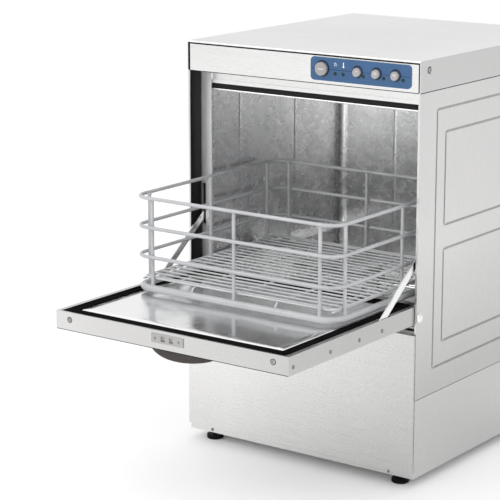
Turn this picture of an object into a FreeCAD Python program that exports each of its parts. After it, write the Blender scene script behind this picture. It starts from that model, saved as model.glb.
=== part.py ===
"""Under-counter glasswasher with a drop-down door, shown open with its wire rack drawn out.

Frame: +X to the right, +Y to the back, +Z up, millimetres. The origin is on the floor, in the
middle of the space that the machine takes with its door open. Every driving size is a cell of
the sheet "sizes"; every place that follows from them is a property of the object "places".
"""
import FreeCAD, Part
import math
import os
import re

import Sketcher

doc = FreeCAD.newDocument("glasswasher")

# ---------------------------------------------------------------- driving sizes
SIZES = {
    # cabinet
    "width": 460, "height": 704, "depth": 508,
    "skin": 1.5, "lid_drop": 50, "lid_fillet": 1.2, "side_foot": 152, "base_foot": 17,
    "seam": 1.3, "sheet_play": 0.4, "flange_gap": 0.7,
    "panel_foot": 29, "panel_gap": 27, "panel_proud": 5, "panel_return": 20,
    "loop_wide": 4, "loop_deep": 0.6, "loop_inset": 50, "loop_foot": 41, "loop_head": 30,
    "pane_inset": 78, "pane_foot": 81, "pane_split": 240, "pane_rise": 276, "pane_head": 69,
    "vent_half": 90, "vent_high": 4, "vent_first": 60, "vent_last": 144, "vent_step": 14,
    "screw_radius": 4.5, "screw_head": 1.6, "screw_inset": 25, "screw_drop": 16,
    "toe_radius": 3, "toe_head": 2.4, "toe_place": 182, "toe_rise": 5,
    # door, measured from the hinge axis
    "hinge_height": 289, "hinge_back": 10, "door_tail": 8, "door_gap": 4, "door_side_gap": 2.5,
    "door_outer": 10, "door_inner": 20, "door_sheet": 1.2, "door_rim": 8, "front_rim": 3.5,
    "gasket_width": 19, "gasket_stand": 2.5, "gasket_play": 0.6, "seal_lap": 12, "pan_deep": 3,
    "pan_sheet": 1.2, "latch_half": 31, "latch_rise": 8, "latch_high": 7.5, "keeper_place": 8,
    "keeper_half": 4, "latch_screw": 23, "edge_screw": 198, "edge_radius": 4, "pin_screw": 2,
    "side_screw": 2.4, "pivot_block": 14, "pivot_reach": 12,
    "pivot_radius": 5, "pivot_play": 0.06, "cap_radius": 8.5, "cap_dome": 3, "cap_play": 0.3,
    "handle_span": 136, "handle_drop": 22, "handle_wall": 3, "handle_inset": 20, "handle_run": 20,
    # door stays
    "stay_reach": 105, "stay_rise": 15, "stay_length": 175, "stay_wide": 12, "stay_thick": 2.5,
    "stay_pin": 3, "stay_play": 0.5, "slot_play": 5,
    # opening and wash chamber
    "frame_back": 36, "frame_sheet": 1.5, "strip_thick": 2.5, "side_gap": 15, "rear_gap": 58,
    "roof_gap": 13, "floor_gap": 29, "liner": 1.5, "guide_width": 24, "guide_drop": 12,
    "guide_play": 2, "guide_inset": 9, "lip_high": 6, "prong_place": 8, "prong_half": 3,
    "prong_near": 9, "prong_far": 15, "prong_drop": 2.2,
    # rack
    "rack_play": 4, "rack_home_gap": 8, "rack_out": 190, "rack_height": 160, "rack_lift": 4,
    "ring_wire": 12, "rim_wire": 6, "carrier_wire": 4, "floor_wire": 3, "rim_step": 49,
    "rack_corner": 28, "weld_sink": 0.6,
    "upright_inset": 37, "floor_pitch": 18, "floor_rise": 22,
    # spray arms
    "arm_side_gap": 32, "rinse_short": 18, "post_radius": 8, "arm_play": 0.06,
    "hub_radius": 20, "wash_deep": 14, "rinse_deep": 10, "wash_wide": 30, "rinse_wide": 14,
    "jet_radius": 1.8, "flange_radius": 26, "flange_thick": 4, "knob_radius": 13,
    "arm_lift": 6, "rinse_lift": 22, "knob_lift": 34, "arm_drop": 8, "knob_drop": 16,
    # controls
    "control_width": 190, "control_height": 38, "control_inset": 17.5, "control_thick": 1.6,
    "control_corner": 7, "start_radius": 11, "button_radius": 7.5, "button_stand": 5,
    "button_tail": 6, "button_fillet": 1.2, "lamp_radius": 2.6, "lamp_play": 0.1,
    "lamp_stand": 0.6, "button_play": 0.3, "start_place": -73, "first_place": -5.5,
    "button_step": 35.6, "button_up": 24, "lamp_up": 18, "panel_up": 24,
    # base
    "foot_radius": 15, "foot_inset": 38, "foot_setback": 22, "pad_high": 8, "stem_radius": 5,
    "sump_width": 230, "sump_length": 190, "sump_depth": 56, "sump_near": 60,
    "screen_gap": 2, "screen_drop": 6, "screen_sheet": 1.6, "way_radius": 2.2,
    "overflow_x": -70, "overflow_y": 98, "overflow_radius": 14, "overflow_bore": 12,
    "overflow_way": 17, "overflow_rise": 2, "overflow_foot": 4,
    "inlet_radius": 13.2, "inlet_reach": 20, "drain_radius": 11, "gland_radius": 9,
    "gland_bore": 4.5, "gland_reach": 12, "gland_nut": 13, "nut_deep": 5, "pipe_bore": 8,
    "service_height": 90, "service_pitch": 120, "port_play": 0.3, "collar": 3,
    "collar_lap": 4,
    # machinery
    "pump_x": -60, "pump_radius": 48, "pump_deep": 42, "pump_setback": 130, "pump_rise": 60,
    "motor_radius": 42, "motor_length": 120, "boiler_x": 130, "boiler_y": 30,
    "boiler_radius": 58, "crown_gap": 29, "crown_radius": 30, "crown_high": 8,
    "terminal_radius": 6, "terminal_high": 14, "drain_pump_radius": 26,
    "dosing_radius": 24, "dosing_deep": 50, "hose_radius": 14, "pipe_radius": 5,
    "rod_radius": 4, "rod_rise": 14, "rod_reach": 95,
}

# ---------------------------------------------------------------- places that follow
PLACES = {
    "half": "width / 2",
    "lid_foot": "height - lid_drop",
    "panel_head": "hinge_height - panel_gap",
    "door_reach": "lid_foot - hinge_height - door_gap",
    "front": "(door_reach - hinge_back + door_sheet - depth - inlet_reach) / 2",
    "back": "front + depth",
    "hinge": "front + hinge_back",
    "door_half": "half - skin - door_side_gap",
    "door_edge": "hinge - door_reach",
    "door_heel": "hinge + door_tail",
    "door_top": "hinge_height + door_inner",
    "door_foot": "hinge_height - door_outer",
    "rim_half": "door_half - door_rim",
    "rim_front": "door_edge + front_rim",
    "pan_half": "rim_half - gasket_width - 1",
    "pan_front": "rim_front + gasket_width + 1",
    "pan_rear": "hinge - gasket_width - 1",
    "tray_half": "half - 0.8",
    "latch_z": "hinge_height + latch_rise",
    "frame": "front + frame_back",
    "strip": "frame - strip_thick",
    "open_half": "rim_half - seal_lap",
    "sill": "door_top - 3",
    "open_head": "hinge_height + door_reach - door_rim - seal_lap",
    "chamber_half": "half - side_gap",
    "chamber_end": "back - rear_gap",
    "chamber_floor": "hinge_height - floor_gap",
    "chamber_roof": "lid_foot - roof_gap",
    "sump_foot": "chamber_floor - liner - sump_depth",
    "sump_y": "arm_y - sump_near",
    "sump_end": "sump_y + sump_length",
    "screen_z": "chamber_floor - screen_drop",
    "overflow_at": "arm_y + overflow_y",
    "stay_side": "door_half - door_sheet - stay_thick - stay_play",
    "stay_y": "hinge - stay_reach",
    "stay_z": "hinge_height + stay_rise",
    "stay_tilt": "(stay_reach - stay_rise) / (stay_reach + stay_rise)",
    "stay_stretch": "sqrt(1 + stay_tilt * stay_tilt)",
    "stay_bow": "0.293 * sqrt(stay_reach * stay_reach + stay_rise * stay_rise)",
    "slot_low": "stay_z + stay_reach - stay_rise - stay_wide / 2 * stay_stretch - slot_play",
    "slot_lift": "(frame - stay_y) * stay_tilt + (stay_bow + stay_wide / 2) * stay_stretch",
    "slot_high": "stay_z + slot_lift + slot_play",
    "slot_near": "stay_side - stay_thick",
    "slot_far": "stay_side + stay_thick + 1.5",
    "rack_foot": "door_top + rack_lift",
    "rack_head": "rack_foot + rack_height",
    "rack_half": "open_half - rack_play",
    "rack_deep": "(chamber_end - frame - rack_home_gap) / 2",
    "rack_y": "front - rack_out + rack_deep",
    "guide_head": "rack_foot - guide_play",
    "arm_y": "(frame + chamber_end) / 2",
    "wash_span": "2 * (chamber_half - arm_side_gap)",
    "rinse_span": "wash_span - 2 * rinse_short",
    "panel_face": "front - panel_proud",
    "side_head": "lid_foot - seam",
    "tray_head": "side_foot - seam",
    "inner_half": "half - skin - sheet_play",
    "control_centre": "half - control_inset - control_width / 2",
    "button_face": "front - control_thick",
    "button_height": "lid_foot + button_up",
    "lamp_height": "lid_foot + lamp_up",
}

sheet = doc.addObject("Spreadsheet::Sheet", "sizes")
for row, (alias, number) in enumerate(SIZES.items(), 1):
    sheet.set("A%d" % row, alias)
    sheet.set("B%d" % row, str(number))
    sheet.setAlias("B%d" % row, alias)
doc.recompute()


def say(text):
    """Turns a formula in plain words into an expression that reads the sheet and the places."""
    def owner(found):
        word = found.group(0)
        if word in SIZES:
            return "sizes." + word
        return "places." + word if word in PLACES else word
    return re.sub(r"[a-z_]+", owner, str(text))


places = doc.addObject("App::FeaturePython", "places")
for word, formula in PLACES.items():
    places.addProperty("App::PropertyFloat", word)
    places.setExpression(word, say(formula))
doc.recompute()


def at(word):
    """The present value of a size or a place."""
    return float(getattr(places if word in PLACES else sheet, word))


# ---------------------------------------------------------------- helpers
PARTS = {}


def scrap(kind, name="piece"):
    return doc.addObject(kind, name)


def bind(item, **formulas):
    for prop, formula in formulas.items():
        item.setExpression(prop.replace("__", "."), say(formula))
    return item


def move(item, x, y, z):
    return bind(item, Placement__Base__x=x, Placement__Base__y=y, Placement__Base__z=z)


def block(x, y, z):
    """A box between pairs of faces: x, y and z each give (low formula, high formula)."""
    item = scrap("Part::Box")
    bind(item, Length="(%s) - (%s)" % (x[1], x[0]), Width="(%s) - (%s)" % (y[1], y[0]),
         Height="(%s) - (%s)" % (z[1], z[0]))
    return move(item, x[0], y[0], z[0])


TURNS = {"x": FreeCAD.Rotation(FreeCAD.Vector(0, 1, 0), 90),
         "y": FreeCAD.Rotation(FreeCAD.Vector(1, 0, 0), -90),
         "z": FreeCAD.Rotation()}


def rod(axis, radius, start, length):
    """A cylinder whose axis runs along +axis from start."""
    item = scrap("Part::Cylinder")
    item.Placement.Rotation = TURNS[axis]
    bind(item, Radius=radius, Height=length)
    return move(item, *start)


def joined(*items):
    item = scrap("Part::MultiFuse")
    item.Shapes = list(items)
    return item


def less(base, *tools):
    item = scrap("Part::Cut")
    item.Base = base
    item.Tool = tools[0] if len(tools) == 1 else joined(*tools)
    return item


def apart(*items):
    """Separate solids that share one node."""
    item = scrap("Part::Compound")
    item.Links = list(items)
    return item


def mirrored(item):
    """The same piece on the other side of the middle."""
    twin = scrap("Part::Mirroring")
    twin.Source = item
    twin.Normal = FreeCAD.Vector(1, 0, 0)
    return twin


def both(item):
    return apart(item, mirrored(item))


def rounded(item, radius, wanted):
    """Fillets the edges whose two ends satisfy wanted(start, end)."""
    doc.recompute()
    picked = []
    for number, edge in enumerate(item.Shape.Edges, 1):
        ends = [vertex.Point for vertex in edge.Vertexes]
        if len(ends) == 2 and wanted(*ends):
            picked.append((number, radius, radius))
    if not picked:
        raise RuntimeError("no edge to round on " + item.Name)
    result = scrap("Part::Fillet")
    result.Base = item
    result.Edges = picked
    return result


def along(axis):
    """Edges that run along one axis."""
    def test(start, end):
        step = end - start
        others = [abs(getattr(step, other)) for other in "xyz" if other != axis]
        return max(others) < 1e-6
    return test


def keep(name, item):
    item.Label = name
    PARTS[name] = item
    return item


def solid(name, shape):
    """A piece that primitives and sketches do not fit, such as bent wire."""
    item = scrap("Part::Feature", name)
    item.Shape = shape
    return keep(name, item)


def body(name):
    return doc.addObject("PartDesign::Body", name + "_body")


def plane(owner, role):
    return next(item for item in owner.Origin.OriginFeatures if item.Role == role)


def sketch(owner, role):
    drawing = owner.newObject("Sketcher::SketchObject", owner.Name + "_sketch")
    drawing.AttachmentSupport = (plane(owner, role), [""])
    drawing.MapMode = "FlatFace"
    return drawing


# ---------------------------------------------------------------- casing
def make_lid():
    tray = block(("-half", "half"), ("front - skin", "back"), ("lid_foot", "height"))
    room = block(("skin - half", "half - skin"), ("front - 2 * skin", "back - skin"),
                 ("lid_foot - 1", "height - skin"))
    shell = less(tray, room)
    top = at("height")
    keep("lid", rounded(shell, at("lid_fillet"), lambda a, b: min(a.z, b.z) > top - 0.01
                        and (along("y")(a, b) or along("x")(a, b))
                        and max(abs(a.x), abs(b.x)) > at("half") - 0.01))


BUTTONS = {
    "start_button": ("start", "start_place"),
    "drain_button": ("button", "first_place"),
    "cycle_button": ("button", "first_place + button_step"),
    "power_button": ("button", "first_place + 2 * button_step"),
}
LAMPS = ["start_place + 26", "start_place + 41", "first_place + 12", "first_place + 50",
         "first_place + 86"]


def button_holes():
    """The holes that the buttons slide in, through the fascia and the control panel."""
    return [rod("y", "%s_radius + button_play" % kind,
                ("control_centre + %s" % where, "front - 5", "button_height"), "12")
            for kind, where in BUTTONS.values()]


def make_fascia():
    across = ("-inner_half", "inner_half")
    face = block(across, ("front", "front + skin"), ("lid_foot", "height - skin - sheet_play"))
    shelf = block(across, ("front", "frame - 2 * skin"), ("lid_foot", "lid_foot + skin"))
    whole = joined(face, shelf)
    keep("fascia", less(whole, *button_holes()))


def make_control_panel():
    owner = body("control_panel")
    drawing = sketch(owner, "XZ_Plane")
    wide, tall = at("control_width"), at("control_height")
    corners = [(-wide / 2, -tall / 2), (wide / 2, -tall / 2), (wide / 2, tall / 2),
               (-wide / 2, tall / 2)]
    vector = FreeCAD.Vector
    for first, second in zip(corners, corners[1:] + corners[:1]):
        drawing.addGeometry(Part.LineSegment(vector(*first, 0), vector(*second, 0)))
    tie_rectangle(drawing)
    pad = owner.newObject("PartDesign::Pad", "control_pad")
    pad.Profile = drawing
    bind(pad, Length="control_thick")
    doc.recompute()
    fillet = owner.newObject("PartDesign::Fillet", "control_corners")
    upright = along("y")
    names = ["Edge%d" % number for number, edge in enumerate(pad.Shape.Edges, 1)
             if upright(*[vertex.Point for vertex in edge.Vertexes])]
    fillet.Base = (pad, names)
    bind(fillet, Radius="control_corner")
    owner.Tip = fillet
    move(owner, "control_centre", "front", "lid_foot + panel_up")
    holes = button_holes()
    holes += [rod("y", "lamp_radius + lamp_play", ("control_centre + %s" % where, "front - 5",
                                                   "lamp_height"), "12") for where in LAMPS]
    keep("control_panel", less(owner, *holes))


def tie_rectangle(drawing):
    """Ties four lines into a rectangle centred on the sketch's origin."""
    for number in range(4):
        drawing.addConstraint(Sketcher.Constraint("Coincident", number, 2, (number + 1) % 4, 1))
    drawing.addConstraint(Sketcher.Constraint("Horizontal", 0))
    drawing.addConstraint(Sketcher.Constraint("Horizontal", 2))
    drawing.addConstraint(Sketcher.Constraint("Vertical", 1))
    drawing.addConstraint(Sketcher.Constraint("Vertical", 3))
    drawing.addConstraint(Sketcher.Constraint("Symmetric", 0, 1, 2, 1, -1, 1))
    for word, kind, line in (("control_width", "DistanceX", 0), ("control_height", "DistanceY", 1)):
        made = drawing.addConstraint(Sketcher.Constraint(kind, line, 1, line, 2, at(word)))
        drawing.setExpression("Constraints[%d]" % made, say(word))


def make_buttons():
    for name, (kind, where) in BUTTONS.items():
        radius = kind + "_radius"
        stem = rod("y", radius, ("control_centre + %s" % where, "button_face - button_stand",
                                 "button_height"), "button_stand + control_thick + button_tail")
        face = at("button_face") - at("button_stand")
        keep(name, rounded_ring(stem, at("button_fillet"), face))
    lamps = [rod("y", "lamp_radius", ("control_centre + %s" % where, "button_face - lamp_stand",
                                      "lamp_height"), "control_thick + lamp_stand - lamp_play")
             for where in LAMPS]
    keep("indicator_lamps", apart(*lamps))


def rounded_ring(item, radius, face):
    """Rounds the circular edge that lies in the plane y = face."""
    doc.recompute()
    picked = [(number, radius, radius) for number, edge in enumerate(item.Shape.Edges, 1)
              if edge.Closed and abs(edge.CenterOfMass.y - face) < 1e-3]
    result = scrap("Part::Fillet")
    result.Base = item
    result.Edges = picked
    return result


def groove_loop(y, z, side):
    """A shallow pressed outline on the outside of a side panel."""
    x = ("half - loop_deep", "half + 1") if side > 0 else ("-half - 1", "loop_deep - half")
    outer = block(x, y, z)
    inner = block(x, (y[0] + " + loop_wide", y[1] + " - loop_wide"),
                  (z[0] + " + loop_wide", z[1] + " - loop_wide"))
    return less(outer, inner)


def make_side(name, side):
    inner, outer = ("half - skin", "half") if side > 0 else ("-half", "skin - half")
    sheet_plate = block((inner, outer), ("front", "back"), ("side_foot", "side_head"))
    lip = ("door_half + flange_gap", "half") if side > 0 else ("-half", "-door_half - flange_gap")
    flange = block(lip, ("front", "front + skin"), ("side_foot", "side_head"))
    hole = rod("x", "pivot_radius + pivot_play", ("-half - 5" if side < 0 else "half - 10",
               "hinge", "hinge_height"), "15")
    pane = ("front + pane_inset", "back - pane_inset")
    loops = [groove_loop(("front + loop_inset", "back - loop_inset"),
                         ("side_foot + loop_foot", "lid_foot - loop_head"), side),
             groove_loop(pane, ("side_foot + pane_foot", "side_foot + pane_split"), side),
             groove_loop(pane, ("side_foot + pane_rise", "lid_foot - pane_head"), side)]
    keep(name, less(joined(sheet_plate, flange), hole, *loops))


def make_casing():
    make_lid()
    make_fascia()
    make_control_panel()
    make_buttons()
    make_side("left_side_panel", -1)
    make_side("right_side_panel", 1)
    make_back_panel()
    make_base()
    make_lower_panel()
    make_feet_and_screws()


def make_back_panel():
    plate = block(("-inner_half", "inner_half"), ("back - skin", "back"), ("side_foot", "side_head"))
    drops = range(int(at("vent_first")), int(at("vent_last")) + 1, int(at("vent_step")))
    vents = [block(("-vent_half", "vent_half"), ("back - 2 * skin", "back + 1"),
                   ("lid_foot - %d" % drop, "lid_foot - %d + vent_high" % drop)) for drop in drops]
    keep("back_panel", less(plate, *vents))


def make_base():
    """The open tray under the machine, with a wide mouth in front and three ports at the back."""
    tray = block(("-tray_half", "tray_half"), ("front + 1", "back"), ("base_foot", "tray_head"))
    room = block(("skin - tray_half", "tray_half - skin"), ("front + 1 + skin", "back - skin"),
                 ("base_foot + skin", "side_foot + 1"))
    mouth = block(("4 - half", "half - 4"), ("front - 1", "front + 5"),
                  ("panel_foot", "side_foot + 1"))
    ports = [rod("y", radius + " + port_play", (x, "back - 6", "service_height"), "12")
             for radius, x in (("inlet_radius", "service_pitch"), ("drain_radius", "0"),
                               ("gland_radius", "-service_pitch"))]
    keep("base_frame", less(tray, room, mouth, *ports))


def make_lower_panel():
    height = ("panel_foot", "panel_head")
    face = block(("1 - half", "half - 1"), ("panel_face", "panel_face + skin"), height)
    sides = [block(x, ("panel_face", "front - 0.1"), height)
             for x in (("1 - half", "1 - half + skin"), ("half - 1 - skin", "half - 1"))]
    top = block(("-door_half", "door_half"), ("panel_face", "front + panel_return"),
                ("panel_head - skin", "panel_head"))
    keep("lower_panel", joined(face, top, *sides))


def make_feet_and_screws():
    feet = []
    for x in ("foot_inset - half", "half - foot_inset"):
        for y in ("front + foot_setback", "back - foot_setback - 10"):
            pad = rod("z", "foot_radius", (x, y, "0"), "pad_high")
            stem = rod("z", "stem_radius", (x, y, "pad_high"), "base_foot - pad_high")
            feet.append(joined(pad, stem))
    keep("levelling_feet", apart(*feet))
    screws = [both(rod("x", "screw_radius", ("half", y, "height - screw_drop"), "screw_head"))
              for y in ("front + screw_inset", "back - screw_inset")]
    screws.append(both(rod("y", "toe_radius", ("toe_place", "front - 1.4", "base_foot + toe_rise"),
                           "toe_head")))
    keep("cabinet_screws", apart(*screws))


# ---------------------------------------------------------------- opening and wash chamber
def make_chamber():
    """The wash tank: a box of bright sheet, open in front, with a pit and a hole for the post."""
    shell = block(("-chamber_half - liner", "chamber_half + liner"),
                  ("frame + frame_sheet", "chamber_end + liner"),
                  ("chamber_floor - liner", "chamber_roof + liner"))
    room = block(("-chamber_half", "chamber_half"), ("frame", "chamber_end"),
                 ("chamber_floor", "chamber_roof"))
    pit = block(("-sump_width / 2", "sump_width / 2"), ("sump_y", "sump_end"),
                ("chamber_floor - 10", "chamber_floor + 1"))
    roof_hole = rod("z", "post_radius - 1", ("0", "arm_y", "chamber_roof - 5"), "20")
    keep("wash_chamber", less(shell, room, pit, roof_hole))
    make_front_frame()
    make_guides()
    make_sump()


def make_front_frame():
    """The plate round the opening with two rolled lips, the strips beside it and the catch."""
    plate = block(("-inner_half", "inner_half"), ("frame", "frame + frame_sheet"),
                  ("panel_head + 2", "lid_foot - 0.6"))
    mouth = block(("-open_half", "open_half"), ("frame - 1", "frame + 3"), ("sill", "open_head"))
    slots = both(block(("slot_near", "slot_far"), ("strip - 1", "frame + 3"),
                       ("slot_low", "slot_high")))
    lips = [block(("-open_half", "open_half"), ("strip", "frame"), z)
            for z in (("open_head", "open_head + lip_high"), ("sill - lip_high", "sill"))]
    keep("front_frame", less(joined(plate, *lips), mouth, slots))
    for name, x in (("left_jamb_strip", ("-door_half - sheet_play", "-open_half")),
                    ("right_jamb_strip", ("open_half", "door_half + sheet_play"))):
        strip = block(x, ("strip", "frame"), ("door_top + 4", "lid_foot - 1"))
        keep(name, less(strip, slots_for(x)))
    prongs = [block(("%s - prong_half" % x, "%s + prong_half" % x),
                    ("front + prong_near", "front + prong_far"),
                    ("lid_foot - prong_drop", "lid_foot")) for x in ("-prong_place", "prong_place")]
    keep("door_catch", apart(*prongs))


def make_guides():
    """The two angle rails that the rack slides on."""
    run = ("frame + guide_inset", "chamber_end - guide_inset")
    for name, side in (("left_rack_guide", -1), ("right_rack_guide", 1)):
        across = [("chamber_half - guide_width", "chamber_half"),
                  ("chamber_half - skin", "chamber_half")]
        if side < 0:
            across = [("-(%s)" % high, "-(%s)" % low) for low, high in across]
        shelf = block(across[0], run, ("guide_head - skin", "guide_head"))
        web = block(across[1], run, ("guide_head - guide_drop", "guide_head"))
        keep(name, joined(shelf, web))


def make_sump():
    """The tank's pit with its pierced screen and the pipe that sets the water level."""
    pan = block(("-sump_width / 2", "sump_width / 2"), ("sump_y", "sump_end"),
                ("sump_foot", "chamber_floor - liner"))
    well = block(("liner - sump_width / 2", "sump_width / 2 - liner"),
                 ("sump_y + liner", "sump_end - liner"),
                 ("chamber_floor - sump_depth", "chamber_floor + 1"))
    keep("sump", less(pan, well))
    screen = block(("screen_gap - sump_width / 2", "sump_width / 2 - screen_gap"),
                   ("sump_y + screen_gap", "sump_end - screen_gap"),
                   ("screen_z", "screen_z + screen_sheet"))
    ways = [rod("z", "way_radius", (str(x), "arm_y + %d" % y, "screen_z - 3"), "8")
            for x in range(-90, 91, 30) for y in range(40, 111, 22)]
    spigot = rod("z", "post_radius + 1", ("0", "arm_y", "screen_z - 3"), "8")
    pipe_way = rod("z", "overflow_way", ("overflow_x", "overflow_at", "screen_z - 3"), "8")
    keep("tank_filter", less(screen, spigot, pipe_way, *ways))
    foot = "chamber_floor - sump_depth"
    pipe = rod("z", "overflow_radius", ("overflow_x", "overflow_at", foot),
               "sump_depth + overflow_rise")
    bore = rod("z", "overflow_bore", ("overflow_x", "overflow_at", foot + " + overflow_foot"),
               "sump_depth + 20")
    keep("overflow_pipe", less(pipe, bore))


def slots_for(x):
    """The slot in a jamb strip that a door stay runs through."""
    span = ("-slot_far", "-slot_near") if x[1].startswith("-") else ("slot_near", "slot_far")
    return block(span, ("strip - 1", "frame + 3"), ("slot_low", "slot_high"))


# ---------------------------------------------------------------- spray arms
def spray_arm(name, foot, deep, span, wide, up):
    """A hub with a flat arm to each side and a row of jets; up is 1 if the jets face up."""
    hub = rod("z", "hub_radius", ("0", "arm_y", foot), deep)
    beam = block(("-(%s) / 2" % span, "(%s) / 2" % span),
                 ("arm_y - (%s) / 2" % wide, "arm_y + (%s) / 2" % wide),
                 (foot + " + 1", foot + " + %s - 1" % deep))
    bore = rod("z", "post_radius + arm_play", ("0", "arm_y", foot + " - 1"), deep + " + 2")
    level = foot + " + %s - 3" % deep if up > 0 else foot + " - 1"
    jets = [rod("z", "jet_radius", ("%s * %.2f" % (span, share), "arm_y", level), "4")
            for share in (-0.46, -0.38, -0.3, -0.22, -0.14, 0.14, 0.22, 0.3, 0.38, 0.46)]
    keep(name, less(joined(hub, beam), bore, *jets))


def post(name, foot, length, flange_at, knob_at):
    """A fixed hollow post that an arm pair turns on, with its flange and end knob."""
    stem = rod("z", "post_radius", ("0", "arm_y", foot), length)
    disc = rod("z", "flange_radius", ("0", "arm_y", flange_at), "flange_thick")
    knob = rod("z", "knob_radius", ("0", "arm_y", knob_at), "flange_thick")
    keep(name, joined(stem, disc, knob))


def make_arms():
    floor, roof = "chamber_floor", "chamber_roof"
    spray_arm("lower_wash_arm", floor + " + arm_lift", "wash_deep", "wash_span", "wash_wide", 1)
    spray_arm("lower_rinse_arm", floor + " + rinse_lift", "rinse_deep", "rinse_span",
              "rinse_wide", 1)
    post("lower_arm_post", floor + " - sump_depth", "sump_depth + knob_lift + flange_thick",
         floor + " - flange_thick", floor + " + knob_lift")
    spray_arm("upper_wash_arm", roof + " - arm_drop - wash_deep", "wash_deep", "wash_span",
              "wash_wide", -1)
    rinse = roof + " - arm_drop - 2 - wash_deep - rinse_deep"
    spray_arm("upper_rinse_arm", rinse, "rinse_deep", "rinse_span", "rinse_wide", -1)
    reach = "knob_drop + wash_deep + rinse_deep"
    post("upper_arm_post", "%s - (%s)" % (roof, reach), reach, roof + " - flange_thick",
         "%s - (%s)" % (roof, reach))


# ---------------------------------------------------------------- door
def make_door():
    make_door_shell()
    make_door_lining()
    make_latch()
    make_pivots()


def make_door_shell():
    """The folded outer pan of the door, open on the inside where the inner panel sits."""
    outer = block(("-door_half", "door_half"), ("door_edge", "door_heel"), ("door_foot", "door_top"))
    room = block(("door_sheet - door_half", "door_half - door_sheet"),
                 ("door_edge + door_sheet", "door_heel - door_sheet"),
                 ("door_foot + door_sheet", "door_top - door_sheet"))
    mouth = block(("-rim_half", "rim_half"), ("rim_front", "hinge"),
                  ("door_top - 5", "door_top + 1"))
    pivots = both(rod("x", "pivot_radius + pivot_play", ("door_half - 5", "hinge", "hinge_height"),
                      "10"))
    slots = both(block(("stay_side - 1.2", "stay_side + stay_thick + 0.6"),
                       ("stay_y - 16", "stay_y + 26"), ("door_top - 3", "door_top + 1")))
    notch = [block(("%s - keeper_half - 1" % x, "%s + keeper_half + 1" % x),
                   ("door_edge - 1", "door_edge + 3"),
                   ("latch_z - keeper_half - 1", "latch_z + keeper_half + 1"))
             for x in ("-keeper_place", "keeper_place")]
    notch += [rod("y", "pin_screw + 0.1", (x, "door_edge - 1", "latch_z"), "4")
              for x in ("-latch_screw", "latch_screw")]
    keep("door_outer_panel", less(outer, room, mouth, pivots, slots, *notch))


def make_door_lining():
    """The pressed inner panel and the rubber frame round its raised field."""
    back = block(("sheet_play - rim_half", "rim_half - sheet_play"),
                 ("rim_front + sheet_play", "hinge - sheet_play"),
                 ("door_top - pan_deep - pan_sheet", "door_top - pan_deep"))
    pan = block(("-pan_half", "pan_half"), ("pan_front", "pan_rear"),
                ("door_top - pan_deep - pan_sheet", "door_top"))
    hollow = block(("2 - pan_half", "pan_half - 2"), ("pan_front + 2", "pan_rear - 2"),
                   ("door_top - 5", "door_top - pan_sheet"))
    keep("door_inner_panel", less(joined(back, pan), hollow))
    ring = block(("gasket_play - rim_half", "rim_half - gasket_play"),
                 ("rim_front + gasket_play", "hinge - gasket_play"),
                 ("door_top - pan_deep + 0.1", "door_top + gasket_stand"))
    inside = block(("-pan_half - sheet_play", "pan_half + sheet_play"),
                   ("pan_front - sheet_play", "pan_rear + sheet_play"),
                   ("door_top - 5", "door_top + 5"))
    keep("door_gasket", less(ring, inside))


def make_latch():
    """The keeper plate on the free edge, which the two catch prongs enter, and the screws."""
    plate = block(("-latch_half", "latch_half"), ("door_edge - door_sheet", "door_edge"),
                  ("latch_z - latch_high", "latch_z + latch_high"))
    windows = [block(("%s - keeper_half" % x, "%s + keeper_half" % x),
                     ("door_edge - 3", "door_edge + 3"),
                     ("latch_z - keeper_half", "latch_z + keeper_half"))
               for x in ("-keeper_place", "keeper_place")]
    holes = [rod("y", "pin_screw + 0.1", (x, "door_edge - 3", "latch_z"), "6")
             for x in ("-latch_screw", "latch_screw")]
    keep("latch_plate", less(plate, *(windows + holes)))
    screws = [rod("y", "pin_screw", (x, "door_edge - door_sheet", "latch_z"), "4")
              for x in ("-latch_screw", "latch_screw")]
    screws += [rod("y", "edge_radius", (x, "door_edge - door_sheet", "latch_z"), "door_sheet")
               for x in ("-edge_screw", "edge_screw")]
    screws += [both(rod("x", "side_screw", ("door_half", "door_edge + %d" % reach,
                                            "hinge_height + 2"), "gasket_play"))
               for reach in (12, 110, 190, 255)]
    keep("door_screws", apart(*screws))


def make_pivots():
    """The blocks in the door, the fixed pins that they turn on, and the pins of the stays."""
    cheek = block(("door_half - door_sheet - pivot_block", "door_half - door_sheet"),
                  ("hinge - 7", "hinge + 6.5"), ("door_foot + door_sheet", "latch_z"))
    bore = rod("x", "pivot_radius + pivot_play", ("door_half - 20", "hinge", "hinge_height"), "30")
    keep("door_pivot_blocks", both(less(cheek, bore)))
    keep("stay_pins", both(rod("x", "stay_pin", ("stay_side - 3", "stay_y", "stay_z"),
                               "door_half - stay_side + 3 - door_sheet")))
    pin = joined(rod("x", "pivot_radius", ("door_half - pivot_reach", "hinge", "hinge_height"),
                     "half - door_half + pivot_reach"),
                 rod("x", "cap_radius", ("half + cap_play", "hinge", "hinge_height"),
                     "cap_dome - cap_play"),
                 rod("x", "pivot_radius", ("half - 1", "hinge", "hinge_height"), "2"))
    keep("hinge_pins", both(pin))


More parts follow.
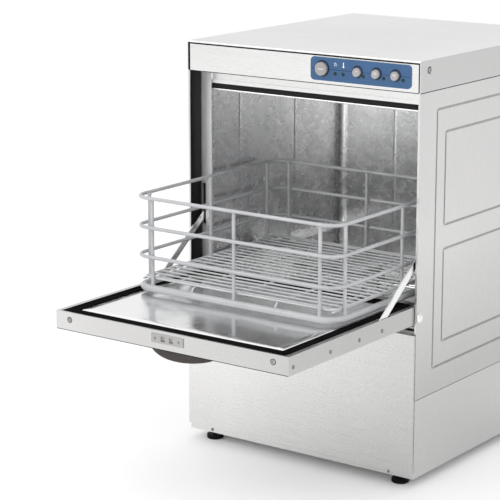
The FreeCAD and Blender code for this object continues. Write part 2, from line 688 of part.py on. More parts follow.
def make_stays():
    """Flat straps that pivot on the door and run into the slots beside the opening."""
    long, wide, thick = at("stay_length"), at("stay_wide"), at("stay_thick")
    blank = Part.makeBox(thick, long, wide, FreeCAD.Vector(0, 0, -wide / 2))
    axis = FreeCAD.Vector(1, 0, 0)
    for y in (0, long):
        blank = blank.fuse(Part.makeCylinder(wide / 2, thick, FreeCAD.Vector(0, y, 0), axis))
    hole = Part.makeCylinder(at("stay_pin") + 0.06, thick + 2, FreeCAD.Vector(-1, 0, 0), axis)
    strap = blank.removeSplitter().cut(hole)
    strap.rotate(FreeCAD.Vector(), axis, math.degrees(math.atan(at("stay_tilt"))))
    strap.translate(FreeCAD.Vector(at("stay_side"), at("stay_y"), at("stay_z")))
    other = strap.mirror(FreeCAD.Vector(), axis)
    solid("door_stays", Part.makeCompound([strap, other]))


def make_handle():
    """A bowed grip under the door's free edge: a wall on an arc, with a mounting foot."""
    span, drop, wall = at("handle_span"), at("handle_drop"), at("handle_wall")
    rise = at("handle_run")
    vector = FreeCAD.Vector

    def slab(half, sag, z, height):
        ends = [vector(-half, 0, z), vector(0, -sag, z), vector(half, 0, z)]
        arc = Part.Arc(*ends).toShape()
        chord = Part.LineSegment(ends[2], ends[0]).toShape()
        return Part.Face(Part.Wire([arc, chord])).extrude(vector(0, 0, height))
    shell = slab(span / 2, rise, -drop, drop)
    shell = shell.cut(slab(span / 2 - wall, rise - wall, -drop - 1, drop - wall + 1))
    shell = shell.fuse(Part.makeBox(span, wall, drop, vector(-span / 2, 0, -drop))).removeSplitter()
    shell.translate(vector(0, at("door_edge") + at("handle_inset") + rise, at("door_foot")))
    solid("door_handle", shell)


# ---------------------------------------------------------------- rack
def loop(wide, deep, corner, z, wire):
    """A closed wire ring: a rectangle of half-sizes wide and deep with rounded corners."""
    vector = FreeCAD.Vector
    middle = at("rack_y")
    turn = math.sqrt(0.5) * corner
    pieces = []
    sides = ((wide, deep, 0), (deep, wide, 1), (wide, deep, 2), (deep, wide, 3))
    for across, out, step in sides:
        angle = step * math.pi / 2

        def spin(x, y, angle=angle):
            return vector(x * math.cos(angle) - y * math.sin(angle),
                          x * math.sin(angle) + y * math.cos(angle) + middle, z)
        run, low = across - corner, corner - out
        pieces.append(Part.LineSegment(spin(-run, -out), spin(run, -out)).toShape())
        bend = Part.Arc(spin(run, -out), spin(run + turn, low - turn), spin(across, low))
        pieces.append(bend.toShape())
    path = Part.Wire(pieces)
    start = vector(corner - wide, middle - deep, z)
    section = Part.Wire(Part.Circle(start, vector(1, 0, 0), wire / 2).toShape())
    return path.makePipeShell([section], True, True)


def make_rack():
    ring, rim, floor = at("ring_wire"), at("rim_wire"), at("floor_wire")
    wide, deep, corner = at("rack_half"), at("rack_deep"), at("rack_corner")
    foot, head, middle = at("rack_foot"), at("rack_head"), at("rack_y")
    vector = FreeCAD.Vector
    solid("rack_ring", loop(wide - ring / 2, deep - ring / 2, corner, foot + ring / 2, ring))
    rims = [loop(wide - rim / 2, deep - rim / 2, corner, head - rim / 2 - step * at("rim_step"), rim)
            for step in range(3)]
    solid("rack_rims", Part.makeCompound(rims))
    tall = head - foot - ring / 2 - rim / 2
    uprights = []
    for share in (-1, 0, 1):
        for side in (-1, 1):
            across, back = share * (wide - at("upright_inset")), share * (deep - at("upright_inset"))
            for x, y in ((across, side * (deep - 1.5 * rim)), (side * (wide - 1.5 * rim), back)):
                stand = vector(x, middle + y, foot + ring / 2)
                uprights.append(Part.makeCylinder(rim / 2, tall, stand))
    solid("rack_uprights", Part.makeCompound(uprights))
    long, reach = wide - ring, deep - ring
    level = foot + at("floor_rise")
    pitch = at("floor_pitch")
    count = int((2 * reach - ring) // pitch)
    grid = None
    for number in range(count + 1):
        y = middle + (number - count / 2) * pitch
        wire = Part.makeCylinder(floor / 2, 2 * long, vector(-long, y, level), vector(1, 0, 0))
        grid = wire if grid is None else grid.fuse(wire)
    step = wide - at("upright_inset")
    carrier = at("carrier_wire") / 2
    under = level - floor / 2 - carrier + at("weld_sink")
    for x in (-step, 0, step, 3 - long, long - 3):
        start = vector(x, middle - reach, under)
        grid = grid.fuse(Part.makeCylinder(carrier, 2 * reach, start, vector(0, 1, 0)))
    solid("rack_floor", grid)


# ---------------------------------------------------------------- machinery under the chamber
def pipe_run(points, radius):
    """A round pipe along straight runs with a ball at each bend, made of primitives."""
    shape = None
    for first, second in zip(points, points[1:]):
        a, b = FreeCAD.Vector(*first), FreeCAD.Vector(*second)
        piece = Part.makeCylinder(radius, (b - a).Length, a, b - a)
        shape = piece if shape is None else shape.fuse(piece)
    for point in points[1:-1]:
        shape = shape.fuse(Part.makeSphere(radius, FreeCAD.Vector(*point)))
    return shape.removeSplitter()


def make_machinery():
    floor = "base_foot + skin"
    pump = floor + " + pump_rise"
    keep("wash_pump_volute", rod("y", "pump_radius", ("pump_x", "arm_y - pump_setback", pump),
                                 "pump_deep"))
    keep("wash_pump_motor", rod("y", "motor_radius",
                                ("pump_x", "arm_y - pump_setback + pump_deep", pump),
                                "motor_length"))
    boiler_y, crown = "arm_y + boiler_y", "sump_foot - crown_gap"
    keep("rinse_boiler", rod("z", "boiler_radius", ("boiler_x", boiler_y, floor + " + 1"),
                             "%s - (%s) - 1" % (crown, floor)))
    posts = [rod("z", "terminal_radius", (x, boiler_y, crown + " + crown_high"), "terminal_high")
             for x in ("boiler_x - 10", "boiler_x + 10")]
    keep("boiler_element", joined(rod("z", "crown_radius", ("boiler_x", boiler_y, crown),
                                      "crown_high"), *posts))
    keep("drain_pump", joined(rod("x", "drain_pump_radius", ("10", "back - 80", floor + " + 30"),
                                  "60"),
                              rod("z", "12", ("40", "back - 80", floor + " + 50"), "30")))
    keep("dosing_pumps", apart(*[rod("y", "dosing_radius", (x, "front + 40", pump), "dosing_deep")
                                 for x in ("60", "130")]))
    keep("control_box", block(("control_centre - 90", "control_centre + 90"),
                              ("frame + 20", "frame + 150"),
                              ("chamber_roof + 4", "height - skin - 6")))
    make_services()
    make_pipes()


def make_services():
    """The water inlet with its valve, the drain spigot and the cable gland, at the back."""
    level = "service_height"
    keep("inlet_valve", joined(block(("service_pitch - 15", "service_pitch + 15"),
                                     ("back - 70", "back - 22"), (level + " - 18", level + " + 30")),
                               rod("z", "14", ("service_pitch", "back - 46", level + " + 30"),
                                   "30")))
    thread = joined(rod("y", "inlet_radius - 2", ("service_pitch", "back - 22", level), "22"),
                    rod("y", "inlet_radius + collar_lap", ("service_pitch", "back", level),
                        "collar"),
                    rod("y", "inlet_radius", ("service_pitch", "back + collar", level),
                        "inlet_reach - collar"))
    keep("water_inlet", less(thread, rod("y", "pipe_bore", ("service_pitch", "back - 24", level),
                                         "30 + inlet_reach")))
    drain = joined(rod("y", "drain_radius - 1.5", ("0", "back - 18", level), "18"),
                   rod("y", "drain_radius + collar_lap", ("0", "back", level), "collar"),
                   rod("y", "drain_radius", ("0", "back + collar", level),
                       "inlet_reach - collar - 2"))
    keep("drain_spigot", less(drain, rod("y", "pipe_bore", ("0", "back - 20", level),
                                         "30 + inlet_reach")))
    gland = joined(rod("y", "gland_radius", ("-service_pitch", "back - 10", level),
                       "10 + gland_reach"),
                   rod("y", "gland_nut", ("-service_pitch", "back", level), "nut_deep"))
    keep("cable_gland", less(gland, rod("y", "gland_bore", ("-service_pitch", "back - 12", level),
                                        "40")))


def make_pipes():
    """The hose from pump to sump, the rinse pipe down the back and the tank's heating rod."""
    arm_y, low = at("arm_y"), at("base_foot") + at("skin") + at("pump_rise")
    sump_foot, pump_x = at("sump_foot"), at("pump_x")
    solid("wash_hoses", pipe_run([(pump_x, arm_y - 140, low), (pump_x, arm_y - 150, low),
                                  (pump_x, arm_y - 150, sump_foot - 30),
                                  (pump_x, arm_y + 40, sump_foot - 30),
                                  (pump_x, arm_y + 40, sump_foot)], at("hose_radius")))
    roof = at("chamber_roof") + at("liner")
    rear = at("chamber_end") + at("liner") + 24
    foot = at("base_foot") + 150
    solid("rinse_pipes", pipe_run([(0, arm_y, roof), (0, arm_y, roof + 5), (0, rear, roof + 5),
                                   (0, rear, foot), (100, rear, foot)], at("pipe_radius")))
    level = at("chamber_floor") - at("sump_depth") + at("rod_rise")
    reach = at("rod_reach")
    solid("tank_element", pipe_run([(reach, arm_y + 20, level), (pump_x, arm_y + 20, level),
                                    (pump_x, arm_y + 80, level), (reach, arm_y + 80, level)],
                                   at("rod_radius")))


# ---------------------------------------------------------------- build
make_casing()
make_chamber()
make_arms()
make_door()
make_stays()
make_handle()
make_rack()
make_machinery()
doc.recompute()

for item in doc.Objects:
    if "Invalid" in item.State or "Error" in item.State:
        raise RuntimeError("%s (%s) failed: %s" % (item.Name, item.Label, item.State))
os.makedirs("parts", exist_ok=True)
for name, item in PARTS.items():
    shape = item.Shape
    if shape.isNull() or not shape.isValid() or not shape.Solids:
        raise RuntimeError(name + " has no valid shape")
    shape.exportStep("parts/%s.step" % name)
    box = shape.BoundBox
    print("%-20s %2d solids %9.0f mm3" % (name, len(shape.Solids), shape.Volume),
          " x %7.1f %7.1f  y %7.1f %7.1f  z %6.1f %6.1f" % (
              box.XMin, box.XMax, box.YMin, box.YMax, box.ZMin, box.ZMax))
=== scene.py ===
import math

import bmesh
import bpy
import numpy as np
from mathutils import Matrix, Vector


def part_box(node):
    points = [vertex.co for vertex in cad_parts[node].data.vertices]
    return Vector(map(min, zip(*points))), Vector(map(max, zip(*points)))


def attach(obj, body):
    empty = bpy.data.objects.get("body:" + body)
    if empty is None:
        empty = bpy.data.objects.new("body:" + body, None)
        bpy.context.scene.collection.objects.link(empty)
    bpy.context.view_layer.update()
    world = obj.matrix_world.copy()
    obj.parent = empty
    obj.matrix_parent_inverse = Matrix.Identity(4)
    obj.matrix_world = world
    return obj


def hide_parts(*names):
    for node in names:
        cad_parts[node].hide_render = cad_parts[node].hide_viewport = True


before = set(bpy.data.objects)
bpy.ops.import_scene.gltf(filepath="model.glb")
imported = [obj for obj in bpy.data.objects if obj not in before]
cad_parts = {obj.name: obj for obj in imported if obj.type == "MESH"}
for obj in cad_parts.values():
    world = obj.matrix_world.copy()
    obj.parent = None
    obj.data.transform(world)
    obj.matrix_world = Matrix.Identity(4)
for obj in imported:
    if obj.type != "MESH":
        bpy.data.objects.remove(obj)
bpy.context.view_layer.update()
MM = 0.001

# %% [markdown]
# A glasswasher stands on a plain studio floor, seen from a little above its lid and turned so
# that the front and the right side both show. A long lens keeps its edges nearly
# parallel. The camera could be aimed with a constraint, but a fixed place and three angles say
# the same thing and never change when a piece is added.

# %% Camera
EYE = (1.7812, -2.6667, 1.1115)
TURN, TILT = 36.11, -13.29
lens_data = bpy.data.cameras.new("studio_camera")
lens_data.sensor_width = 36.0
lens_data.lens = 139.55
camera = bpy.data.objects.new("studio_camera", lens_data)
camera.location = EYE
camera.rotation_euler = (math.radians(90 + TILT), 0, math.radians(TURN))
bpy.context.scene.collection.objects.link(camera)
bpy.context.scene.camera = camera
print("lens", lens_data.lens, "mm")

# %% [markdown]
# Stainless steel has almost no colour of its own: it shows what stands round it. White walls all
# round make it look nearly white, and a few softer, darker patches give the sheets their shape.
# A light world with a slow change from floor to ceiling does the work of a white room, and three
# broad lamps add the soft light and shade of a studio.

# %% Room and lamps
world = bpy.data.worlds.new("white_room")
bpy.context.scene.world = world
world.use_nodes = True
room = world.node_tree
room_place = room.nodes.new("ShaderNodeTexCoord")
room_split = room.nodes.new("ShaderNodeSeparateXYZ")
room_ramp = room.nodes.new("ShaderNodeValToRGB")
for stop, (place, tone) in enumerate(((0.0, 0.9), (0.46, 0.6), (0.56, 0.82), (0.8, 1.0))):
    element = room_ramp.color_ramp.elements[stop] if stop < 2 else room_ramp.color_ramp.elements.new(place)
    element.position, element.color = place, (tone, tone, tone * 1.005, 1)
room_shift = room.nodes.new("ShaderNodeMapRange")
room_shift.inputs["From Min"].default_value = -1.0
room.links.new(room_place.outputs["Generated"], room_split.inputs[0])
room.links.new(room_split.outputs["Z"], room_shift.inputs["Value"])
room.links.new(room_shift.outputs[0], room_ramp.inputs[0])
room.links.new(room_ramp.outputs[0], room.nodes["Background"].inputs["Color"])
room.nodes["Background"].inputs["Strength"].default_value = 1.06


def soft_lamp(name, place, aim, size, power):
    """A square area lamp of that side, turned to face the aim point."""
    data = bpy.data.lights.new(name, "AREA")
    data.size, data.energy = size, power
    lamp = bpy.data.objects.new(name, data)
    lamp.location = place
    away = np.array(place) - np.array(aim)
    lamp.rotation_euler = (math.atan2(math.hypot(away[0], away[1]), away[2]), 0,
                           math.atan2(away[0], -away[1]))
    bpy.context.scene.collection.objects.link(lamp)
    return lamp


soft_lamp("key_lamp", (-1.6, -2.6, 2.4), (0, -0.1, 0.4), 1.8, 34)
soft_lamp("side_lamp", (2.6, -0.6, 1.7), (0, 0.1, 0.4), 1.6, 16)
soft_lamp("front_lamp", (0.7, -2.8, 0.7), (0, 0.1, 0.45), 1.0, 12)
bpy.context.scene.view_settings.view_transform = "Standard"

# %% [markdown]
# Every finish here is worked out by nodes from Object coordinates, so a pattern keeps its real
# size in metres on any piece. A few short tools are enough: they read a noise stretched along
# chosen axes, turn it into a range of values or a colour, and turn it into a fine relief.


# %% Tools for finishes
def finish(name, colour, rough, metal=0.0, **sockets):
    """A Principled material; constants go straight onto the shader's own sockets."""
    material = bpy.data.materials.new(name)
    material.use_nodes = True
    shader = material.node_tree.nodes["Principled BSDF"]
    shader.inputs["Base Color"].default_value = (*colour, 1)
    shader.inputs["Roughness"].default_value = rough
    shader.inputs["Metallic"].default_value = metal
    for socket, value in sockets.items():
        shader.inputs[socket.replace("_", " ")].default_value = value
    material.diffuse_color = (*colour, 1)
    return material


def node(material, kind, sources, values=None, **settings):
    """Adds a node and returns its outputs; sources and values go to its inputs."""
    made = material.node_tree.nodes.new("ShaderNode" + kind)
    for word, value in settings.items():
        setattr(made, word, value)
    for socket, value in (values or {}).items():
        made.inputs[socket].default_value = value
    for socket, source in sources.items():
        material.node_tree.links.new(source, made.inputs[socket])
    return made.outputs


def object_place(material):
    """The Object coordinates, in metres."""
    return node(material, "TexCoord", {})["Object"]


def noise(material, cycles, detail=3.0):
    """Noise over Object coordinates with that many cycles to the metre along x, y and z."""
    stretch = node(material, "Mapping", {"Vector": object_place(material)}, {"Scale": cycles})
    return node(material, "TexNoise", {"Vector": stretch[0]}, {"Scale": 1.0, "Detail": detail})["Fac"]


def spread(material, source, low, high, start=0.3, end=0.7):
    """Maps start to end onto low to high; a noise's useful middle part is 0.3 to 0.7."""
    return node(material, "MapRange", {"Value": source},
                {"From Min": start, "From Max": end, "To Min": low, "To Max": high})[0]


def add(material, first, second):
    """The sum of two values."""
    return node(material, "Math", {0: first, 1: second})[0]


def between(material, factor, first, second):
    """A colour that goes from first to second as factor goes from 0 to 1."""
    return node(material, "Mix", {0: factor}, {6: (*first, 1), 7: (*second, 1)}, data_type="RGBA")[2]


def paint(material, socket, source):
    """Joins a pattern to one of the shader's sockets."""
    shader = material.node_tree.nodes["Principled BSDF"]
    material.node_tree.links.new(source, shader.inputs[socket])


def painted_shade_ramp(material, source, axis, start, end, share):
    """Painted shade: a colour that keeps only a share of itself once the axis's Object coordinate passes end.
    """
    split = node(material, "SeparateXYZ", {0: object_place(material)})
    slope = spread(material, split[axis], 1.0, share, start, end)
    return node(material, "VectorMath", {0: source, "Scale": slope}, operation="SCALE")[0]


def relief(material, source, depth, strength=1.0, under=None):
    """A fine relief, depth metres from hollow to crest, over an optional coarser one."""
    sources = {"Height": source} if under is None else {"Height": source, "Normal": under}
    made = node(material, "Bump", sources, {"Distance": depth, "Strength": strength})[0]
    paint(material, "Normal", made)
    return made


print("finish tools ready")

# %% [markdown]
# The casing is sheet steel brushed in one direction at the mill. The brush leaves hairlines a
# fraction of a millimetre apart and many centimetres long. A noise squeezed hard across the
# grain and stretched along it gives exactly that, and the same noise drives the roughness and a
# very shallow relief. Broad clouds and small smudges come from handling and rolling.

# %% Brushed steel


def brushed(name, grain, tone=0.86, rough=0.27, painted_shade=None):
    """Brushed sheet: grain gives the cycles per metre along x, y and z, and the last argument is an optional
    painted shade ramp along one axis.
    """
    material = finish(name, (tone, tone, tone), rough, metal=1.0)
    hairs = noise(material, grain, 4.0)
    clouds = noise(material, (3.1, 2.7, 3.3), 2.0)
    smudges = noise(material, (38, 41, 36), 5.0)
    worn = add(material, spread(material, hairs, rough - 0.06, rough + 0.05),
               add(material, spread(material, clouds, -0.03, 0.04), spread(material, smudges, -0.012, 0.018)))
    paint(material, "Roughness", worn)
    shade = add(material, spread(material, clouds, 0.0, 0.75), spread(material, hairs, 0.0, 0.25))
    colour = between(material, shade, (tone - 0.04, tone - 0.046, tone - 0.052),
                     (tone + 0.03, tone + 0.026, tone + 0.018))
    # The base colour may carry painted shade: darker along one axis.
    paint(material, "Base Color", painted_shade_ramp(material, colour, *painted_shade) if painted_shade else colour)
    waves = relief(material, noise(material, (4, 4.5, 3.6), 1.0), 0.0006, 0.3)
    relief(material, hairs, 0.00001, 0.25, waves)
    return material


steel_across = brushed("brushed_steel_across", (5, 900, 900), tone=0.77)
# The lid's right side face is painted darker: painted shade.
steel_lid = brushed("brushed_steel_lid", (5, 900, 900), tone=0.8, rough=0.3,
                    painted_shade=("X", 0.2288, 0.2298, 0.74))
# The side panels are a darker copy of the casing steel and are painted darker towards the bottom: painted
# shade for the sides, which get less of the studio light.
steel_side = brushed("brushed_steel_side", (900, 900, 5), tone=0.65,
                     painted_shade=("Z", 0.42, 0.17, 0.74))
# The lower panels and the door's outer panel are painted darker towards the right: painted shade for light
# that falls from the left.
steel_low = brushed("brushed_steel_low", (5, 900, 900), tone=0.73, painted_shade=("X", -0.15, 0.22, 0.74))
steel_door = brushed("brushed_steel_door", (5, 900, 900), tone=0.58, rough=0.24,
                     painted_shade=("X", -0.2, 0.22, 0.8))
screw_steel = brushed("screw_steel", (300, 300, 300), tone=0.36, rough=0.26)
plate_steel = brushed("latch_plate_steel", (5, 900, 900), tone=0.38, rough=0.3)
# A much darker steel for the pressed outlines on the side panels: painted shade for the hollows.
pressed_shade_steel = brushed("pressed_edge_painted_shade", (900, 900, 5), tone=0.34, rough=0.24)
print("brushed steels made")

# %% [markdown]
# Inside, the sheet is bright-rolled and has been drawn into a tank, so it is glossier but no
# longer flat: what it mirrors breaks up into pale and dark patches. Two sizes of soft waves in
# the relief do that, and thin scale from hard water dulls it here and there.

# %% Polished steel


def polished(name, tone=0.74, rough=0.09, wave=0.0011, marks=0.12, painted_shade=None, cloud=0.14):
    """Bright sheet with long and short waves, dull spots of dried water, and an optional painted shade ramp
    along one axis.
    """
    material = finish(name, (tone, tone, tone), rough, metal=1.0)
    drops = noise(material, (55, 55, 70), 6.0)
    clouds = noise(material, (7, 7, 4), 3.0)
    paint(material, "Roughness", add(material, spread(material, drops, rough - 0.03, rough + marks),
                                     spread(material, clouds, -0.02, 0.05)))
    light, dark = min(1.0, tone + cloud), tone - cloud
    colour = between(material, clouds, (dark, dark + 0.003, dark + 0.006), (light, light, light))
    # The base colour may carry painted shade: darker along one axis.
    paint(material, "Base Color", painted_shade_ramp(material, colour, *painted_shade) if painted_shade else colour)
    long_waves = relief(material, noise(material, (13, 13, 7), 2.0), wave * 3, 0.4)
    relief(material, noise(material, (48, 44, 30), 4.0), wave, 0.3, long_waves)
    return material


# The tank's steel is painted darker towards the back of the tank: painted shade deep in the recess.
tank_steel = polished("polished_tank_steel", tone=0.92, rough=0.2, painted_shade=("Y", 0.31, 0.355, 0.8))
liner_steel = polished("polished_liner_steel", 0.92, 0.17, 0.0002, 0.04, cloud=0.06)
jamb_steel = polished("polished_jamb_steel", 0.92, 0.5, 0.0003, 0.05, cloud=0.06)
arm_steel = polished("polished_arm_steel", tone=0.78, rough=0.16, wave=0.0002)
print("polished steels made")

# %% [markdown]
# Screws, pins and caps are turned from bar, so their fine marks run in rings and they are a
# little brighter than the sheet. Plastics differ in how they were moulded: a spark-eroded mould
# leaves an even, fine grain, rubber is softer and dustier, and a printed foil is nearly smooth.

# %% Fasteners, plastics, rubber


def moulded(name, colour, rough, grain, depth, dust=0.12, shine=0.5):
    """Moulded plastic or rubber: an even grain, a slow change of tone and a little dust."""
    material = finish(name, colour, rough, Specular_IOR_Level=shine)
    fine = noise(material, (grain, grain, grain), 3.0)
    slow = noise(material, (17, 15, 19), 3.0)
    light = tuple(min(1.0, tone * (1 + dust) + dust * 0.04) for tone in colour)
    dark = tuple(tone * (1 - dust) for tone in colour)
    paint(material, "Base Color", between(material, spread(material, slow, 0.0, 1.0), dark, light))
    paint(material, "Roughness", add(material, spread(material, fine, rough - 0.05, rough + 0.05),
                                     spread(material, slow, -0.04, 0.06)))
    relief(material, fine, depth, 0.5)
    return material


bright_metal = brushed("turned_fasteners", (300, 300, 300), tone=0.8, rough=0.2)
black_plastic = moulded("black_moulding", (0.008, 0.008, 0.009), 0.46, 1400, 0.00004, 0.1, 0.15)
# Near-black plastic for the door catch; the same finish is painted shade on the drip rail and on the strips
# beside the opening.
dark_plastic_and_shade = moulded("dark_plastic_and_painted_shade", (0.007, 0.007, 0.0075), 0.4, 900, 0.00003, 0.1, 0.1)
seal_rubber = moulded("door_seal_rubber", (0.0015, 0.0015, 0.0015), 0.7, 1100, 0.00006, 0.1, 0.03)
# A near-black finish for painted shadow: the dark lines in the casing's gaps and the dark rings under screw
# heads.
shadow_black = moulded("painted_shadow_black", (0.001, 0.001, 0.001), 0.8, 1100, 0.00006, 0.1, 0.02)
grip_plastic = moulded("handle_moulding", (0.034, 0.027, 0.023), 0.42, 1300, 0.00006, 0.2, 0.35)
panel_blue = moulded("control_foil_blue", (0.034, 0.092, 0.2), 0.38, 2100, 0.00001, 0.05, 0.35)
# Navy for the printed foil line, and painted shade in the rings round the buttons.
navy_ink_and_shade = moulded("foil_line_and_painted_shade", (0.006, 0.014, 0.04), 0.45, 2100, 0.00001, shine=0.2)
white_ink = moulded("control_foil_white", (0.85, 0.86, 0.88), 0.4, 2100, 0.00001, 0.05)
button_plastic = moulded("button_grey_plastic", (0.3, 0.285, 0.28), 0.34, 1500, 0.00003, 0.1)
wire_coating = moulded("rack_nylon_coating", (0.4, 0.405, 0.415), 0.28, 520, 0.00005, 0.08)
mat_coating = moulded("rack_floor_coating", (0.52, 0.525, 0.53), 0.3, 520, 0.00005, 0.06)
lamp_plastic = moulded("lamp_green_lens", (0.002, 0.025, 0.02), 0.16, 800, 0.00001, 0.2, 0.3)
motor_coat = moulded("motor_enamel", (0.05, 0.06, 0.07), 0.38, 700, 0.00005, 0.15)
hose_rubber = moulded("hose_rubber", (0.018, 0.018, 0.019), 0.5, 1000, 0.00006, 0.25)
print("plastics and rubbers made")

# %% [markdown]
# Brass and copper are named for their colour, but what tells them apart is how they age: brass
# dulls evenly, and copper darkens in brown patches where hands and heat have been.

# %% Brass and copper


def aged(name, clean, dull, rough):
    """A yellow or red metal that has darkened in soft patches."""
    material = finish(name, clean, rough, metal=1.0)
    patches = noise(material, (60, 60, 60), 5.0)
    paint(material, "Base Color", between(material, spread(material, patches, 0.0, 1.0), clean, dull))
    paint(material, "Roughness", spread(material, patches, rough - 0.06, rough + 0.14))
    relief(material, noise(material, (420, 420, 420), 2.0), 0.00003, 0.4)
    return material


brass = aged("cast_brass", (0.78, 0.56, 0.26), (0.5, 0.34, 0.15), 0.28)
copper = aged("copper_tube", (0.8, 0.4, 0.26), (0.42, 0.2, 0.12), 0.25)
print("brass and copper made")

# %% [markdown]
# The pieces whose CAD shape is already right keep their mesh and get a finish. Sheets that run
# across the machine have their grain across, and those that run to the back have it that way.

# %% Finishes for the pieces that stay
def dress(material, names):
    """Gives CAD nodes a finish; names are written in one line with spaces."""
    for name in names.split():
        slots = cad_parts[name].data.materials
        slots.clear()
        slots.append(material)


dress(steel_across, "fascia back_panel front_frame")
dress(steel_low, "base_frame lower_panel")
dress(steel_door, "door_outer_panel")
dress(steel_lid, "lid")
dress(steel_side, "left_side_panel right_side_panel")
dress(tank_steel, "wash_chamber sump tank_filter overflow_pipe")
dress(plate_steel, "latch_plate")
dress(jamb_steel, "left_jamb_strip right_jamb_strip")
dress(arm_steel, "left_rack_guide right_rack_guide lower_arm_post upper_arm_post lower_wash_arm")
dress(arm_steel, "lower_rinse_arm upper_wash_arm upper_rinse_arm rinse_boiler door_stays")
dress(arm_steel, "stay_pins tank_element boiler_element")
dress(bright_metal, "hinge_pins door_pivot_blocks")
dress(screw_steel, "cabinet_screws door_screws")
dress(dark_plastic_and_shade, "door_catch")
dress(black_plastic, "cable_gland levelling_feet drain_spigot wash_pump_volute drain_pump")
dress(black_plastic, "inlet_valve control_box dosing_pumps")
dress(seal_rubber, "door_gasket")
dress(hose_rubber, "wash_hoses")
dress(grip_plastic, "door_handle")
dress(panel_blue, "control_panel")
dress(button_plastic, "start_button drain_button cycle_button power_button")
dress(lamp_plastic, "indicator_lamps")
dress(wire_coating, "rack_ring rack_rims rack_uprights rack_floor")
dress(liner_steel, "door_inner_panel")
dress(brass, "water_inlet")
dress(copper, "rinse_pipes")
dress(motor_coat, "wash_pump_motor")
print("dressed", sum(1 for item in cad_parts.values() if item.data.materials), "nodes")

# %% [markdown]
# Nearly every small part of this machine is one of three shapes: a wire or strip carried along
# a line, a round part turned on an axis, or a pressed sheet. Each of the three can be written
# as a grid of points worked out at once by numpy, which keeps the surfaces smooth and exact.
# The faces come from the grid's own numbering, and the doubled points at seams and poles merge.
# Lengths are in millimetres up to the last step, which scales them to metres.


# %% Tools for surfaces


def box(name):
    """The low and the high corner of a CAD node, in millimetres."""
    return tuple(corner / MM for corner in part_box(name))


def quads(rows, columns, round_rows=False, round_columns=False):
    """Faces between neighbours of a grid; a round direction joins its last line to its first."""
    row, column = np.meshgrid(np.arange(rows - (not round_rows)),
                              np.arange(columns - (not round_columns)), indexing="ij")
    below, beside = (row + 1) % rows, (column + 1) % columns
    return np.stack([row * columns + column, below * columns + column, below * columns + beside,
                     row * columns + beside], axis=-1).reshape(-1, 4)


def unit(vectors):
    """Vectors brought to length one."""
    return vectors / np.maximum(np.linalg.norm(vectors, axis=-1, keepdims=True), 1e-12)


def carry(path, outline, up=(0, 0, 1), closed=False, size=1.0):
    """An outline carried along a path: point = path + size * (across * side + high * over).

    side is square to the path and to up, and over is square to both. An open run is shut at
    each end by one more ring of no size.
    """
    path, outline = np.asarray(path, float), np.asarray(outline, float)
    if closed:
        ahead = unit(np.roll(path, -1, 0) - path) + unit(path - np.roll(path, 1, 0))
    else:
        ahead = np.gradient(path, axis=0)
    side = unit(np.cross(unit(ahead), np.asarray(up, float)))
    over = unit(np.cross(side, unit(ahead)))
    scale = np.ones(len(path)) * size
    if not closed:
        path, side, over = (np.concatenate([part[:1], part, part[-1:]]) for part in (path, side, over))
        scale = np.concatenate([[0.0], scale, [0.0]])
    points = path[:, None] + scale[:, None, None] * (outline[None, :, :1] * side[:, None]
                                                     + outline[None, :, 1:] * over[:, None])
    return points.reshape(-1, 3), quads(len(path), len(outline), closed, True)


def circle(radius, count=14):
    """A round outline."""
    angle = np.linspace(0, 2 * math.pi, count, endpoint=False)
    return radius * np.stack([np.cos(angle), np.sin(angle)], axis=-1)


def bar(wide, high, corner, count=5):
    """A rectangular outline with rounded corners: four arcs set at the inner corners."""
    angle = np.linspace(0, math.pi / 2, count)
    signs = np.array([(1, 1), (-1, 1), (-1, -1), (1, -1)])
    turn = angle[None] + np.arange(4)[:, None] * math.pi / 2
    middle = signs * np.array([wide / 2 - corner, high / 2 - corner])
    arcs = middle[:, None] + corner * np.stack([np.cos(turn), np.sin(turn)], axis=-1)
    return arcs.reshape(-1, 2)


def round_loop(low, high, corner, height, count=9):
    """A closed level path: a rectangle between two corners, with rounded corners."""
    wide, deep = high[0] - low[0], high[1] - low[1]
    flat = bar(wide, deep, corner, count) + np.array([(low[0] + high[0]) / 2, (low[1] + high[1]) / 2])
    return np.column_stack([flat, np.full(len(flat), height)])


AXES = {"+x": ((0, 1, 0), (0, 0, 1), (1, 0, 0)), "-x": ((0, 0, 1), (0, 1, 0), (-1, 0, 0)),
        "+y": ((0, 0, 1), (1, 0, 0), (0, 1, 0)), "-y": ((1, 0, 0), (0, 0, 1), (0, -1, 0)),
        "+z": ((1, 0, 0), (0, 1, 0), (0, 0, 1)), "-z": ((0, 1, 0), (1, 0, 0), (0, 0, -1))}


def turned(radius, height, place, axis="+z", count=40):
    """A turned part: point = place + radius * (cos, sin) across the axis + height along it.

    radius and height may change with the angle too, which gives threads, fins and cross slots.
    """
    angle = np.linspace(0, 2 * math.pi, count, endpoint=False)
    across, beside, along = (np.array(vector, float) for vector in AXES[axis])
    radius, height = (np.broadcast_to(np.reshape(part, (len(part), -1)), (len(part), count))
                      for part in (np.asarray(radius, float), np.asarray(height, float)))
    points = (np.array(place, float) + (radius * np.cos(angle))[..., None] * across
              + (radius * np.sin(angle))[..., None] * beside + height[..., None] * along)
    return points.reshape(-1, 3), quads(len(radius), count, False, True)


def sheet_between(top, bottom):
    """A closed sheet from two grids of points: both skins, and a strip round the four edges."""
    rows, columns = top.shape[:2]
    skins = [(top.reshape(-1, 3), quads(rows, columns)), (bottom.reshape(-1, 3), quads(rows, columns))]
    for near, far in ((top[0], bottom[0]), (top[-1], bottom[-1]), (top[:, 0], bottom[:, 0]),
                      (top[:, -1], bottom[:, -1])):
        skins.append((np.stack([near, far]).reshape(-1, 3), quads(2, len(near))))
    return skins


